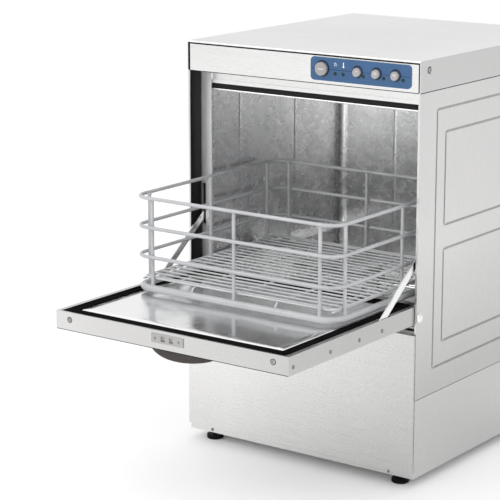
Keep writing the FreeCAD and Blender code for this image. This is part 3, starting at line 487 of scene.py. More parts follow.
def build(name, shells, material, body, stands_for=(), sharp=35):
    """One object from closed shells: merged, turned outwards, and smooth up to the sharp angle."""
    mesh = bpy.data.meshes.new(name)
    counts = np.cumsum([0] + [len(points) for points, _ in shells])
    points = np.concatenate([points for points, _ in shells])
    faces = np.concatenate([corners + start for (_, corners), start in zip(shells, counts)])
    mesh.from_pydata((points * MM).tolist(), [], faces.tolist())
    work = bmesh.new()
    work.from_mesh(mesh)
    bmesh.ops.remove_doubles(work, verts=work.verts, dist=1e-6)
    bmesh.ops.dissolve_degenerate(work, dist=1e-7, edges=work.edges)
    bmesh.ops.recalc_face_normals(work, faces=work.faces)
    work.to_mesh(mesh)
    work.free()
    mesh.shade_smooth()
    mesh.set_sharp_from_angle(angle=math.radians(sharp))
    mesh.materials.append(material)
    item = bpy.data.objects.new(name, mesh)
    bpy.context.scene.collection.objects.link(item)
    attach(item, body)
    if stands_for:
        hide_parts(*stands_for)
    print("%-24s %6d faces" % (name, len(mesh.polygons)))
    return item


def strip(start, end, outline, up=(0, 0, 1), count=2):
    """An outline carried along a straight line."""
    return carry(np.linspace(np.array(start, float), np.array(end, float), count), outline, up=up)


SIDES = ((-1, "-x"), (1, "+x"))


# %% [markdown]
# The rack is welded from steel wire and dipped in nylon. The thick base tube and the three thin
# rims are closed loops with bent corners. At each weld the nylon gathers in a small bead, so an
# upright is a wire whose radius swells a little wherever it crosses a rim: the swelling is a
# bell curve round each crossing.

# %% Rack loops and uprights
base_low, base_high = box("rack_ring")
BASE_WIRE, RIM_WIRE, FLOOR_WIRE, BEND = 12, 6, 3, 28


def wire_loop(low, high, wire, height):
    """A wire whose outside touches the given box, carried round a rounded rectangle."""
    inset = np.array([wire / 2, wire / 2])
    path = round_loop(np.array(low[:2]) + inset, np.array(high[:2]) - inset, BEND, height)
    return carry(path, circle(wire / 2, 18), closed=True)


build("rack_base_tube", [wire_loop(base_low, base_high, BASE_WIRE, (base_low.z + base_high.z) / 2)],
      wire_coating, "rack", ["rack_ring"])
rim_low, rim_high = box("rack_rims")
rim_levels = np.linspace(rim_low.z + RIM_WIRE / 2, rim_high.z - RIM_WIRE / 2, 3)
build("rack_rim_wires", [wire_loop(rim_low, rim_high, RIM_WIRE, level) for level in rim_levels],
      wire_coating, "rack", ["rack_rims"])


def beads(place, crossings, wide, rise):
    """1 plus a bell curve of height rise at each crossing."""
    return 1 + rise * np.exp(-(((place[:, None] - np.asarray(crossings)[None]) / wide) ** 2)).sum(1)


half_x, half_y = base_high.x, (base_high.y - base_low.y) / 2
mid_y = (base_high.y + base_low.y) / 2
UPRIGHT_INSET = 37
levels = np.linspace(base_low.z + 6, rim_high.z - RIM_WIRE / 2, 120)
swell = beads(levels, np.append(rim_levels, base_low.z + 11), 3, 0.25)
uprights = []
for share in (-1, 0, 1):
    for side in (-1, 1):
        for x, y in ((share * (half_x - UPRIGHT_INSET), side * (half_y - 1.5 * RIM_WIRE)),
                     (side * (half_x - 1.5 * RIM_WIRE), share * (half_y - UPRIGHT_INSET))):
            path = np.column_stack([np.full(120, x), np.full(120, mid_y + y), levels])
            uprights.append(carry(path, circle(RIM_WIRE / 2, 10), up=(1, 0, 0), size=swell))
build("rack_upright_wires", uprights, wire_coating, "rack", ["rack_uprights"])

# %% [markdown]
# The rack's floor is a mat of thin wires laid side by side over five carriers. The carriers do
# not simply stop: each end bends down and is welded to the base tube, which is what lifts the
# mat clear of the door. The bend is a quarter circle joined to two straight runs.

# %% Rack floor
mat_low, mat_high = box("rack_floor")
mat_level = mat_high.z - FLOOR_WIRE / 2
PITCH, CARRIER = 18, circle(1.7, 10)
count = int(round((mat_high.y - mat_low.y) / PITCH))
rows_y = mid_y + (np.arange(count) - (count - 1) / 2) * PITCH
carriers = np.linspace(-1, 1, 5) * (half_x - UPRIGHT_INSET)
run_x = np.linspace(mat_low.x, mat_high.x, 160)
mat = [carry(np.column_stack([run_x, np.full(160, y), np.full(160, mat_level)]), circle(FLOOR_WIRE / 2, 8),
             size=beads(run_x, carriers, 1.8, 0.3)) for y in rows_y]


def carrier(x):
    """A wire along the rack whose two ends bend down through a quarter circle to the base tube."""
    level, foot, reach = mat_level - 3, base_high.z - 2, half_y - BASE_WIRE / 2 - 1
    radius = level - foot - 1
    angle = np.linspace(0, math.pi / 2, 8)
    bend = np.column_stack([np.sin(angle), np.cos(angle)]) * radius + (reach - radius, level - radius)
    far = np.concatenate([[[0.0, level]], bend, [[reach, foot]]])
    near = far[::-1] * np.array([-1, 1])
    line = np.concatenate([near[:-1], far])
    path = np.column_stack([np.full(len(line), x), mid_y + line[:, 0], line[:, 1]])
    return carry(path, CARRIER, up=(1, 0, 0))


mat += [carrier(x) for x in carriers]
mat += [strip((x, mat_low.y, mat_level - 3), (x, mat_high.y, mat_level - 3), CARRIER)
        for x in (15 - half_x, half_x - 15)]
border_low, border_high = np.array(mat_low[:2]) + 1.8, np.array(mat_high[:2]) - 1.8
mat.append(carry(round_loop(border_low, border_high, 12, mat_level), CARRIER, closed=True))
build("rack_floor_wires", mat, mat_coating, "rack", ["rack_floor"])

# %% [markdown]
# The door's rubber seal is an extruded strip with a soft bulb and a thin lip, joined into a
# frame. Its outline is a flat foot with two bell curves on top, a wide one for the bulb and a
# narrow one for the lip, carried round a rounded rectangle.

# %% Door seal
seal_low, seal_high = box("door_gasket")
share = np.linspace(0, 1, 30)
bulb, lip = (np.exp(-(((share - middle) / wide) ** 2)) for middle, wide in ((0.34, 0.17), (0.86, 0.07)))
SEAL_WIDE = 18.4
seal_top = np.column_stack([(0.5 - share) * SEAL_WIDE, 2.4 + 2.9 * bulb + 1.5 * lip])
seal_outline = np.concatenate([seal_top, [[-SEAL_WIDE / 2, 0.0], [SEAL_WIDE / 2, 0.0]]])
inset = SEAL_WIDE / 2 + 0.2
seal_path = round_loop(np.array(seal_low[:2]) + inset, np.array(seal_high[:2]) - inset, 8, seal_low.z)
build("door_seal", [carry(seal_path, seal_outline, closed=True)], seal_rubber, "door",
      ["door_gasket"])

# %% [markdown]
# The door's inner plate is pressed from one bright sheet. A raised field inside a lower margin
# stiffens it and fits inside the seal. Its height depends only on the distance to the nearest
# edge: a smooth step lifts it from the margin to the field, so the shoulders catch a soft line
# of light instead of a hard edge.

# %% Door inner plate
plate_low, plate_high = box("door_inner_panel")


def smooth_step(value):
    """0 below 0, 1 above 1, and 3t^2 - 2t^3 between."""
    t = np.clip(value, 0, 1)
    return t * t * (3 - 2 * t)


def fine_edges(low, high, band, count=22):
    """Places from low to high, close together inside band at both ends."""
    edge = np.linspace(0, band, count)
    field = np.linspace(low + band, high - band, 30)
    return np.unique(np.concatenate([low + edge, field, high - edge[::-1]]))


plate_x, plate_y = np.meshgrid(fine_edges(plate_low.x, plate_high.x, 24),
                               fine_edges(plate_low.y, plate_high.y, 24), indexing="ij")
to_edge = np.minimum(np.minimum(plate_x - plate_low.x, plate_high.x - plate_x),
                     np.minimum(plate_y - plate_low.y, plate_high.y - plate_y))
MARGIN, SHOULDER = 20.2, 5
plate_z = plate_low.z + 1.2 + (plate_high.z - plate_low.z - 1.2) * smooth_step(
    (to_edge - MARGIN) / SHOULDER)
plate_top = np.stack([plate_x, plate_y, plate_z], axis=-1)
build("door_pressed_liner", sheet_between(plate_top, plate_top - np.array([0, 0, 1.1])), liner_steel,
      "door", ["door_inner_panel"], sharp=60)

# %% [markdown]
# The grip under the door's free edge is a bowed plastic moulding, ribbed so that wet fingers
# hold it. A ripple added to the wall's thickness as it goes round the bow gives the ribs: the
# wall's outer skin is the arc plus a cosine of the distance along it, and fades at both ends.
# The wall is deepest in the middle and runs out at both ends as a half ellipse, like a crescent.

# %% Handle
grip_low, grip_high = box("door_handle")
GRIP_WALL, BOW = 3, grip_high.y - grip_low.y - 3
span = np.linspace(-1, 1, 241)
chord_y = grip_high.y - GRIP_WALL


def bow_line(drop):
    """A shallow arc through both ends of the chord, drop millimetres inside the outer one."""
    half = grip_high.x - drop
    radius = (half ** 2 + (BOW - drop) ** 2) / (2 * (BOW - drop))
    x = span * half
    sag = np.sqrt(np.maximum(radius ** 2 - x ** 2, 0))
    return np.column_stack([x, chord_y + radius - BOW + drop - sag])


outer, inner = bow_line(0.9), bow_line(GRIP_WALL)
ribs = 0.8 * (0.5 + 0.5 * np.cos(span * math.pi * 34)) * smooth_step((1 - np.abs(span)) / 0.12)
outer = outer - np.column_stack([np.zeros(241), ribs])
crescent = (0.3 + 0.7 * np.sqrt(np.clip(1 - span ** 2, 0, 1))) * (grip_high.z - grip_low.z)
down = np.linspace(0, 1, 12)
roll = np.sqrt(np.clip(1 - (2 * down - 1) ** 8, 0, 1)) * 0.8 - 0.8
wall_front = np.stack([np.column_stack([outer[:, 0], outer[:, 1] - bulge, grip_high.z - fall * crescent])
                       for fall, bulge in zip(down, roll)], axis=1)
wall_back = np.stack([np.column_stack([inner, grip_high.z - fall * crescent]) for fall in down], axis=1)
roof_back = np.column_stack([outer[:, 0], np.full(241, chord_y + 1)])
cover_top = np.stack([np.column_stack([outer * (1 - t) + roof_back * t, np.full(241, grip_high.z)])
                      for t in np.linspace(0.02, 1, 8)], axis=1)
foot_bar = strip((grip_low.x + 1, grip_high.y - 1.5, grip_high.z - 3),
                 (grip_high.x - 1, grip_high.y - 1.5, grip_high.z - 3), bar(3, 6, 0.9))
build("door_grip", sheet_between(wall_front, wall_back)
      + sheet_between(cover_top, cover_top - np.array([0, 0, 2.6])) + [foot_bar],
      grip_plastic, "door", ["door_handle"])

# %% [markdown]
# The lid is folded from sheet, and its front edge is turned back on itself so that it is not sharp. The fold
# shows as a slim bright roll. A thin black strip under it is painted shadow for the gap between the fold and
# the fascia, and two more black strips at both ends of the control fascia are painted shadow in the gaps
# there.

# %% Lid fold and painted gap shadows
lid_low, lid_high = box("lid")
face_low, face_high = box("fascia")
FOLD = 2.4
fold_y, fold_z = lid_low.y + 0.8, lid_high.z - FOLD / 2 - 0.6
build("lid_front_fold", [strip((-face_high.x, fold_y, fold_z), (face_high.x, fold_y, fold_z),
                               bar(1.5, FOLD, 0.7), count=3)], steel_lid, "cabinet")
# Black strips under the lid's fold and at both ends of the fascia: painted shadow in those gaps.
shadow_y, shadow_z = face_low.y - 0.35, lid_high.z - 4.3
gap_shadow_strips = [strip((-face_high.x, shadow_y, shadow_z), (face_high.x, shadow_y, shadow_z), bar(0.8, 2.2, 0.3))]
for x in (0.9 - face_high.x, face_high.x - 0.9):
    gap_shadow_strips.append(strip((x, face_low.y - 0.5, face_low.z + 0.2), (x, face_low.y - 0.5, lid_high.z - 5.6),
                      bar(1.2, 2.6, 0.4), up=(1, 0, 0)))
build("casing_gap_shadows", gap_shadow_strips, shadow_black, "cabinet")

# %% [markdown]
# Between the lid, the side panels and the base, the sheets don't quite meet, and a thin black strip in each
# gap is painted shadow. It is what draws the fine dark lines round the casing. The side panels also have
# pressed outlines that stiffen them: each is a shallow bead with rounded corners, so a low rounded bar
# carried round an upright rectangle stands in the pressed hollow, in a darker steel that is painted shade for
# the hollow.

# %% Painted seam shadows and pressed outlines
side_low, side_high = box("right_side_panel")
SEAM, SEAM_SHADOW_BAR, SEAM_SHADOW_HALF = 1.3, bar(1.8, 1.2, 0.4), 225
# Thin black strips in the casing's gaps: painted shadow.
seam_shadow_strips = []
for level in ((side_high.z + lid_low.z) / 2, side_low.z - SEAM / 2):
    for x in (1.25 - side_high.x, side_high.x - 1.25):
        seam_shadow_strips.append(strip((x, side_low.y + 2, level), (x, side_high.y - 2, level), SEAM_SHADOW_BAR))
    seam_shadow_strips.append(strip((-SEAM_SHADOW_HALF, side_high.y - 1.3, level), (SEAM_SHADOW_HALF, side_high.y - 1.3, level), SEAM_SHADOW_BAR))
y, z = face_low.y + 0.9, face_low.z - 0.5
seam_shadow_strips.append(strip((-SEAM_SHADOW_HALF, y, z), (SEAM_SHADOW_HALF, y, z), bar(2.0, 1.4, 0.4)))
build("casing_seam_shadows", seam_shadow_strips, shadow_black, "cabinet")


def upright_loop(x, y, z, inset):
    """A closed path round a rounded rectangle at that x, inset from the given ranges of y and z."""
    flat = round_loop((y[0] + inset, z[0] + inset), (y[1] - inset, z[1] - inset), 9, 0.0)
    return np.column_stack([np.full(len(flat), x), flat[:, :2]])


outline_y = (side_low.y + 50, side_high.y - 50)
pane_y = (side_low.y + 78, side_high.y - 78)
OUTLINES = ((outline_y, (side_low.z + 41, lid_low.z - 30)),
            (pane_y, (side_low.z + 81, side_low.z + 240)),
            (pane_y, (side_low.z + 276, lid_low.z - 69)))
# Each pressed outline is a low bar in the darker steel: painted shade for the shadow in the pressed hollow.
pressings = [carry(upright_loop(x, y, z, inset), bar(wide, 0.5, 0.2), up=(1, 0, 0), closed=True)
             for x in (0.35 - side_high.x, side_high.x - 0.35) for y, z in OUTLINES
             for inset, wide in ((1.0, 1.5), (2.9, 1.1))]
build("side_pressings", pressings, pressed_shade_steel, "cabinet")

# %% [markdown]
# Above the opening a drip strip with a bright rolled lip sends water back into the tank; the strip's dark
# colour is painted shade for its top face, which lies in shadow.
# Beside the opening, dark strips on the inner faces of the side panels, where the door stays slide up, are
# painted shade for that recess. They are plain strips in section, so each is an outline carried along a line.

# %% Drip rail and painted recess shade
frame_low = box("front_frame")[0]
tank_low, tank_high = box("wash_chamber")
strip_low, strip_high = box("left_jamb_strip")
opening_half = -strip_high.x
HEAD, RECESS_SHADE_X = 630, 227.9


def across_strip(y, z, outline):
    """A strip across the opening at that depth and height."""
    return strip((0.4 - opening_half, y, z), (opening_half - 0.4, y, z), outline)


slope = np.array([(1.4, -4.5), (2.2, -4.5), (-0.6, 4.6), (-1.6, 4.6)])
# The drip rail's dark colour is painted shade for its shaded top face.
build("head_drip_rail", [across_strip(frame_low.y + 2.6, HEAD - 4.5, slope)], dark_plastic_and_shade, "cabinet")
build("head_rolled_lip", [across_strip(frame_low.y + 1.6, HEAD - 10.4, bar(2.6, 3.2, 1.2))],
      bright_metal, "cabinet")
# Dark strips on the side panels' inner faces beside the opening: painted shade for the recess there.
recess_shade_y = (side_low.y + frame_low.y) / 2 + 0.9
recess_shade_strips = [strip((x, recess_shade_y, strip_low.z + 4), (x, recess_shade_y, side_high.z - 1),
                 bar(frame_low.y - side_low.y - 3.6, 0.9, 0.3), up=(1, 0, 0)) for x in (-RECESS_SHADE_X, RECESS_SHADE_X)]
build("side_recess_shades", recess_shade_strips, dark_plastic_and_shade, "cabinet")
rivet = np.linspace(1, 0, 8)
rivets = [turned(np.append(0, 2.4 * rivet), np.append(0, 0.9 * np.sqrt(1 - rivet ** 2)),
                 (x, strip_low.y, level), "-y", 24)
          for x in (-opening_half - 5, opening_half + 5) for level in (377, 392, 417)]
build("jamb_rivets", rivets, screw_steel, "cabinet")

# %% [markdown]
# The control foil carries a fine line from button to button and two plain signs, a spray of
# drops and a thermometer. A printed line is only ink, but as a very thin raised strip it stays
# crisp from every side and needs no picture. Each stroke is a flat outline along two points.

# %% Signs on the control foil
foil_low, foil_high = box("control_panel")
INK = 0.14
ink_y, line_z = foil_low.y - INK / 2 + 0.03, (foil_low.z + foil_high.z) / 2


def stroke(x0, z0, x1, z1, wide):
    """A thin printed stroke between two places on the foil."""
    return strip((x0, ink_y, z0), (x1, ink_y, z1), bar(wide, INK, INK / 2.2, 3), up=(0, 1, 0.001))


BUTTONS = ("start_button", "drain_button", "cycle_button", "power_button")
button_x, button_r = {}, {}
stops = [foil_low.x + 1.5]
for name in BUTTONS:
    low, high = box(name)
    button_x[name], button_z = (low.x + high.x) / 2, (low.z + high.z) / 2
    button_r[name] = (high.x - low.x) / 2
    stops += [button_x[name] - button_r[name] - 2.5, button_x[name] + button_r[name] + 2.5]
stops.append(foil_high.x - 1.5)
build("foil_line", [stroke(start, line_z, end, line_z, 0.7) for start, end in zip(stops[::2], stops[1::2])],
      navy_ink_and_shade, "cabinet")
spray_x, spray_z, dial_x = 70.6, foil_high.z - 10, 86
signs = []
for turn in np.radians([90, 162, 234, 306, 18]):
    x, z = math.cos(turn), math.sin(turn)
    signs.append(stroke(spray_x + 1.1 * x, spray_z + 1.1 * z, spray_x + 3.1 * x, spray_z + 3.1 * z, 0.9))
signs.append(stroke(dial_x, spray_z - 2.0, dial_x, spray_z + 4.0, 1.5))
signs.append(turned([0, 1.6, 1.6, 0], [INK, INK, 0, 0], (dial_x, foil_low.y + 0.03, spray_z - 3), "-y", 24))
build("foil_signs", signs, white_ink, "cabinet")

# %% [markdown]
# The buttons are short plastic caps with a rounded rim and a slightly dished face, so a finger finds the
# middle. A cap is turned: straight up the side, a quarter circle at the rim, and a shallow bowl whose depth
# grows with the square of the distance from the rim. The three small ones lean: their height also falls
# towards the top by a sine of the angle. A dark ring round each cap is set a little up and to the right,
# where it shows as a crescent: painted shade for the cap's shaded side.

# %% Buttons and their painted shade crescents
RIM, DISH, LEAN = 1.1, 0.5, 1.5


def cap_profile(radius, face, lean, count=48):
    """Rings from the back of the stem to the middle of the face, the lean included."""
    angle = np.linspace(0, math.pi / 2, 6)
    bowl = np.linspace(1, 0, 9)[1:]
    r = np.concatenate([[0, radius, radius], radius - RIM + RIM * np.cos(angle), (radius - RIM) * bowl])
    h = np.concatenate([[0, 0, face - RIM - lean], face - RIM + RIM * np.sin(angle),
                        face - DISH * (1 - bowl ** 2)])
    turn = np.linspace(0, 2 * math.pi, count, endpoint=False)
    leaning = np.where(np.arange(len(r)) > 2, lean, 0.0)[:, None]
    return r, h[:, None] - leaning * (1 + (r / radius)[:, None] * np.sin(turn)[None])


def on_face(name, radius, marks, depth):
    """Slim raised marks on a cap's face: a ring if the radius is over 0, and strokes by their ends."""
    x, y, z = button_x[name], box(name)[0].y + depth, button_z
    turn = np.linspace(0, 2 * math.pi, 30, endpoint=False)
    shells = []
    if radius:
        path = np.column_stack([x + radius * np.cos(turn), np.full(30, y), z + radius * np.sin(turn)])
        shells.append(carry(path, bar(0.5, 0.5, 0.2, 3), up=(0, 1, 0), closed=True))
    for a, b, c, d in marks:
        shells.append(strip((x + a, y, z + b), (x + c, y, z + d), bar(0.9, 0.5, 0.2, 3), up=(0, 1, 0.001)))
    build(name.replace("button", "mark"), shells, white_ink, name)


shade_crescents = []
for name, lean, radius, mark, depth in (("start_button", 0.0, 0, (-5, 0, 5, 0), 0.5),
                                        ("drain_button", LEAN, 2.2, (-3, -3.6, 3, -3.6), 2.0),
                                        ("cycle_button", LEAN, 2.6, (-1.2, 0, 1.2, 0), 2.0),
                                        ("power_button", LEAN, 3.0, (0, -1.8, 0, 1.8), 2.0)):
    low, high = box(name)
    rings, heights = cap_profile(button_r[name], high.y - low.y, lean)
    build(name.replace("button", "cap"),
          [turned(rings, heights, (button_x[name], high.y, button_z), "-y", 48)],
          button_plastic, name, [name])
    # A dark ring shifted up and to the right of the cap: painted shade for its shaded side.
    near, far = button_r[name] + 0.1, button_r[name] + 2.2
    shade_crescents.append(turned([near, near, (near + far) / 2, far, far, near], [0, 0.5, 0.75, 0.45, 0, 0],
                          (button_x[name] + 1.1, foil_low.y + 0.05, button_z + 0.9), "-y", 48))
    on_face(name, radius, [mark], depth)
build("button_shade_crescents", shade_crescents, navy_ink_and_shade, "cabinet")

# %% [markdown]
# A lamp lens is a small dome: its height over the foil is a square root, like a slice of a ball.

# %% Lamp lenses
lamp_low, lamp_high = box("indicator_lamps")
lamp_r, lamp_z = (lamp_high.z - lamp_low.z) / 2, (lamp_high.z + lamp_low.z) / 2
LAMPS = (70.5, 85.5, 124, 162, 198)
dome = np.linspace(1, 0, 7)
rise = lamp_high.y - foil_low.y + 0.05
lens_r = np.concatenate([[0, lamp_r, lamp_r], 1.25 * lamp_r * dome])
lens_h = np.concatenate([[0, 0, rise], rise + 0.55 * np.sqrt(1 - dome ** 2)])
build("lamp_lenses", [turned(lens_r, lens_h, (x, lamp_high.y, lamp_z), "-y", 24) for x in LAMPS],
      lamp_plastic, "cabinet", ["indicator_lamps"])

# %% [markdown]
# The screws are domed with a cross slot. The dome is a height over a disc, and the slot is cut
# where a point lies within half a slot's width of either of two crossed lines and inside the
# slot's length: there the height drops, steeply but smoothly, so that the edges stay clean.

# %% Screws
def screw(place, axis, radius, rise, count=40):
    """A domed head with a cross slot, seated at place and facing along axis."""
    share = np.concatenate([[0.0, 1.0], np.linspace(1, 0, 22)])
    turn = np.linspace(0, 2 * math.pi, count, endpoint=False)
    x, z = share[:, None] * np.cos(turn), share[:, None] * np.sin(turn)
    dome = rise * (0.35 + 0.65 * np.sqrt(np.clip(1 - share ** 2, 0, 1)))[:, None] * np.ones(count)
    slot = smooth_step((0.2 - np.minimum(np.abs(x), np.abs(z))) / 0.09)
    slot = slot * smooth_step((0.62 - share[:, None]) / 0.08)
    height = dome - 0.8 * rise * slot
    height[:2] = 0.0
    return turned(share * radius, height, place, axis, count)


def shadow_disc(place, axis, radius):
    """A thin dark disc under a screw head, a little wider than the head: a painted shadow ring round the
    head.
    """
    return turned([0, radius, radius, 0], [-0.1, -0.1, 0.2, 0.2], place, axis, 40)


door_low, door_high = box("door_outer_panel")
edge_y, H_AXIS, LATCH_Z = door_low.y, 289, 297
door_edge = [((x, edge_y, LATCH_Z), "-y") for x in (-198, 198)]
door_side = [((side * door_high.x, edge_y + reach, H_AXIS + 2), out)
             for reach in (12, 110, 190, 255) for side, out in SIDES]
lid_side = [((side * side_high.x, y, lid_high.z - 16), out)
            for side, out in SIDES for y in (side_low.y + 25, side_high.y - 25)]
heads = [screw(*seat, 4, 1.2, 72) for seat in door_edge]
heads += [screw((x, edge_y - 0.25, LATCH_Z), "-y", 1.95, 0.9) for x in (-23, 23)]
heads += [screw(*seat, 2.4, 0.6) for seat in door_side]
build("door_cross_screws", heads, screw_steel, "door", ["door_screws"], sharp=50)
heads = [screw(*seat, 4.5, 1.6, 72) for seat in lid_side]
heads += [screw((x, side_low.y + 1, 22), "-y", 3, 1.6) for x in (-182, 182)]
build("casing_screw_shadows", [shadow_disc(*seat, 5.8) for seat in lid_side], shadow_black, "cabinet")
build("door_screw_shadows", [shadow_disc(*seat, 4.9) for seat in door_edge] + [shadow_disc(*seat, 3.1) for seat in door_side],
      shadow_black, "door")
build("casing_cross_screws", heads, screw_steel, "cabinet", ["cabinet_screws"], sharp=50)

# %% [markdown]
# The keeper on the door's free edge is a slim plate with a pressed rim and two pockets, which the catch
# prongs drop into. A pocket is a height field: a smooth step of the distance to the nearest edge takes it
# from the plate's face down to its floor. A thin black strip in the lower door seam is painted shadow.

# %% Latch keeper and door seam
POCKET = 4.3
pocket_x, pocket_z = np.meshgrid(*[np.linspace(-POCKET, POCKET, 24)] * 2, indexing="ij")
to_rim = POCKET - np.maximum(np.abs(pocket_x), np.abs(pocket_z))
depth = 2.2 * smooth_step(to_rim / 1.4) - 0.3
keeper = []
for x in (-8, 8):
    front_skin = np.stack([pocket_x + x, edge_y + depth, pocket_z + LATCH_Z], axis=-1)
    keeper += sheet_between(front_skin, front_skin + np.array([0, 0.3, 0]))
flat = round_loop((-30.3, LATCH_Z - 6.8), (30.3, LATCH_Z + 6.8), 4, 0.0)
rim_path = np.column_stack([flat[:, 0], np.full(len(flat), edge_y - 0.95), flat[:, 1]])
keeper.append(carry(rim_path, bar(1.1, 0.4, 0.18, 3), up=(0, 1, 0), closed=True))
build("latch_keeper", keeper, screw_steel, "door")
# A black strip in the door's lower seam: painted shadow.
seam_y, seam_z = edge_y - 0.1, door_low.z + 0.5
door_seam_shadow = strip((door_low.x + 1, seam_y, seam_z), (door_high.x - 1, seam_y, seam_z), bar(0.5, 0.9, 0.2, 3))
build("door_lower_seam_shadow", [door_seam_shadow], shadow_black, "door")

# %% [markdown]
# The hinge pins end in low domed caps that ride on the casing's sides.

# %% Hinge caps
pin_low, pin_high = box("hinge_pins")
bulge = np.linspace(1, 0, 12)
pin_r = np.concatenate([[0, 5, 5, 8.5], 8.5 * bulge])
pin_h = np.concatenate([[-16.0, -16.0, 0.35, 0.35], 0.6 + 2.4 * np.sqrt(1 - bulge ** 2)])
caps = [turned(pin_r, pin_h, (side * side_high.x, (pin_low.y + pin_high.y) / 2, H_AXIS), out, 48)
        for side, out in SIDES]
build("hinge_caps", caps, bright_metal, "hinge_pins", ["hinge_pins"])

# %% [markdown]
# A tank that is bent from sheet has a rounded corner where two walls meet, and a faint raised
# weld down each joint. The coves are quarter-round fillets: the outline runs along both walls
# and back along an arc that is hollow towards the tank.

# %% Tank coves and welds
COVE, WALL_X, wall_y = 15, 215, tank_high.y - 1.5
arc = np.linspace(0, math.pi / 2, 12)
hollow = np.column_stack([COVE - COVE * np.sin(arc), COVE - COVE * np.cos(arc)])
outline = np.concatenate([hollow, [[0.0, 0.0]]])
heights = np.array([tank_low.z + 2, tank_high.z - 2])
coves = []
for side in (-1, 1):
    ring = np.column_stack([side * (WALL_X - outline[:, 0]), wall_y - outline[:, 1]])
    ends = [np.tile(ring.mean(0), (len(ring), 1)), ring, ring, np.tile(ring.mean(0), (len(ring), 1))]
    shell = np.stack([np.column_stack([flat, np.full(len(ring), height)])
                      for flat, height in zip(ends, heights[[0, 0, 1, 1]])])
    coves.append((shell.reshape(-1, 3), quads(4, len(ring), False, True)))
weld = np.column_stack([np.linspace(-3, 3, 9), 0.8 * np.cos(np.linspace(-math.pi / 2, math.pi / 2, 9))])
for x in (-95, 95):
    coves.append(strip((x, wall_y + 0.05, 320), (x, wall_y + 0.05, tank_high.z - 3), weld, up=(0, -1, 0)))
for side in (-1, 1):
    x = side * (WALL_X - 0.02)
    for y in (40, 210):
        coves.append(strip((x, y, 322), (x, y, tank_high.z - 3), weld, up=(-side, 0, 0)))
build("tank_coves", coves, tank_steel, "cabinet")

# %% [markdown]
# Each spray arm is a flattened steel tube that narrows towards its tips, where it is pinched
# shut. Its section is a flat oval whose width and height shrink smoothly along the arm, and
# small raised nozzles stand along it in a row.

# %% Spray arms
BORE, HUB, HUB_EDGE = 8.1, 20, 2.6
JETS = np.array([-0.92, -0.76, -0.6, -0.44, -0.28, 0.28, 0.44, 0.6, 0.76, 0.92])
HUB_RINGS = [BORE, BORE, HUB - 5, HUB - 2, HUB, HUB, HUB - 2, HUB - 5, BORE]


def oval(wide, high, count=28):
    """A flat oval outline: a circle with its ends pulled square by a power of 0.7."""
    round_one = circle(1.0, count)
    return np.sign(round_one) * np.abs(round_one) ** 0.7 * (wide / 2, high / 2)


for name, faces_up, tube_wide in (("lower_wash_arm", True, 28), ("lower_rinse_arm", True, 13.5),
                                  ("upper_wash_arm", False, 28), ("upper_rinse_arm", False, 13.5)):
    low, high = box(name)
    middle = (low + high) / 2
    tube_high = high.z - low.z - 2.4
    run = np.linspace(low.x, high.x, 90)
    narrowing = 1 - 0.28 * smooth_step((np.abs(run) / high.x - 0.2) / 0.8)
    narrowing *= np.sqrt(np.clip(1 - (np.abs(run) / high.x) ** 24, 0.02, 1))
    path = np.column_stack([run, np.full(90, middle.y), np.full(90, middle.z)])
    top, foot = high.z - middle.z, low.z - middle.z
    hub_h = [foot, top, top, top - 0.6, top - HUB_EDGE, foot + HUB_EDGE, foot + 0.6, foot, foot]
    hub = turned(HUB_RINGS, hub_h, middle, "+z", 48)
    shells = [carry(path, oval(tube_wide, tube_high), size=narrowing), hub]
    for share in JETS:
        lift = tube_high / 2 * (0.86 if abs(share) > 0.6 else 0.94) - 0.1
        shells.append(turned([0, 3.4, 3.0, 1.5, 1.3, 0], [-1.5, -1.5, 0.9, 1.1, -0.6, -0.6],
                             (share * high.x, middle.y, middle.z + (lift if faces_up else -lift)),
                             "+z" if faces_up else "-z", 20))
    build(name.replace("_arm", "_tube"), shells, arm_steel, name, [name])

# %% [markdown]
# At the back, the water inlet has a pipe thread, the drain spigot has barbs that grip a hose,
# and the cable gland has a six-sided nut. A thread is a turned part whose radius is a triangle
# wave of height over pitch plus the angle; a hexagon is a radius that follows the cosine of the
# angle left to the nearest flat.

# %% Fittings at the back
back_y, SERVICE, SERVICE_PITCH = side_high.y, 90, 120
angle = np.linspace(0, 2 * math.pi, 48, endpoint=False)


def rings_of(*radii):
    """Round rings from radii; a number gives a circle, and an array gives one ring or several."""
    return np.concatenate([np.broadcast_to(np.atleast_2d(radius), (np.atleast_2d(radius).shape[0], 48))
                           for radius in radii])


def thread(radius, start, end, pitch, depth, count=90):
    """Radius and height rings of a thread; it fades at both ends."""
    height = np.linspace(start, end, count)
    phase = (height[:, None] / pitch + angle[None] / (2 * math.pi)) % 1
    ease = smooth_step(np.minimum(height - start, end - height) / pitch)[:, None]
    return radius - depth * ease * np.abs(2 * phase - 1), height


def fitting(name, rings, heights, x, material, node_name):
    """One turned fitting on the back, seated at that x."""
    build(name, [turned(rings, heights, (x, back_y, SERVICE), "+y", 48)], material, "cabinet",
          [node_name])


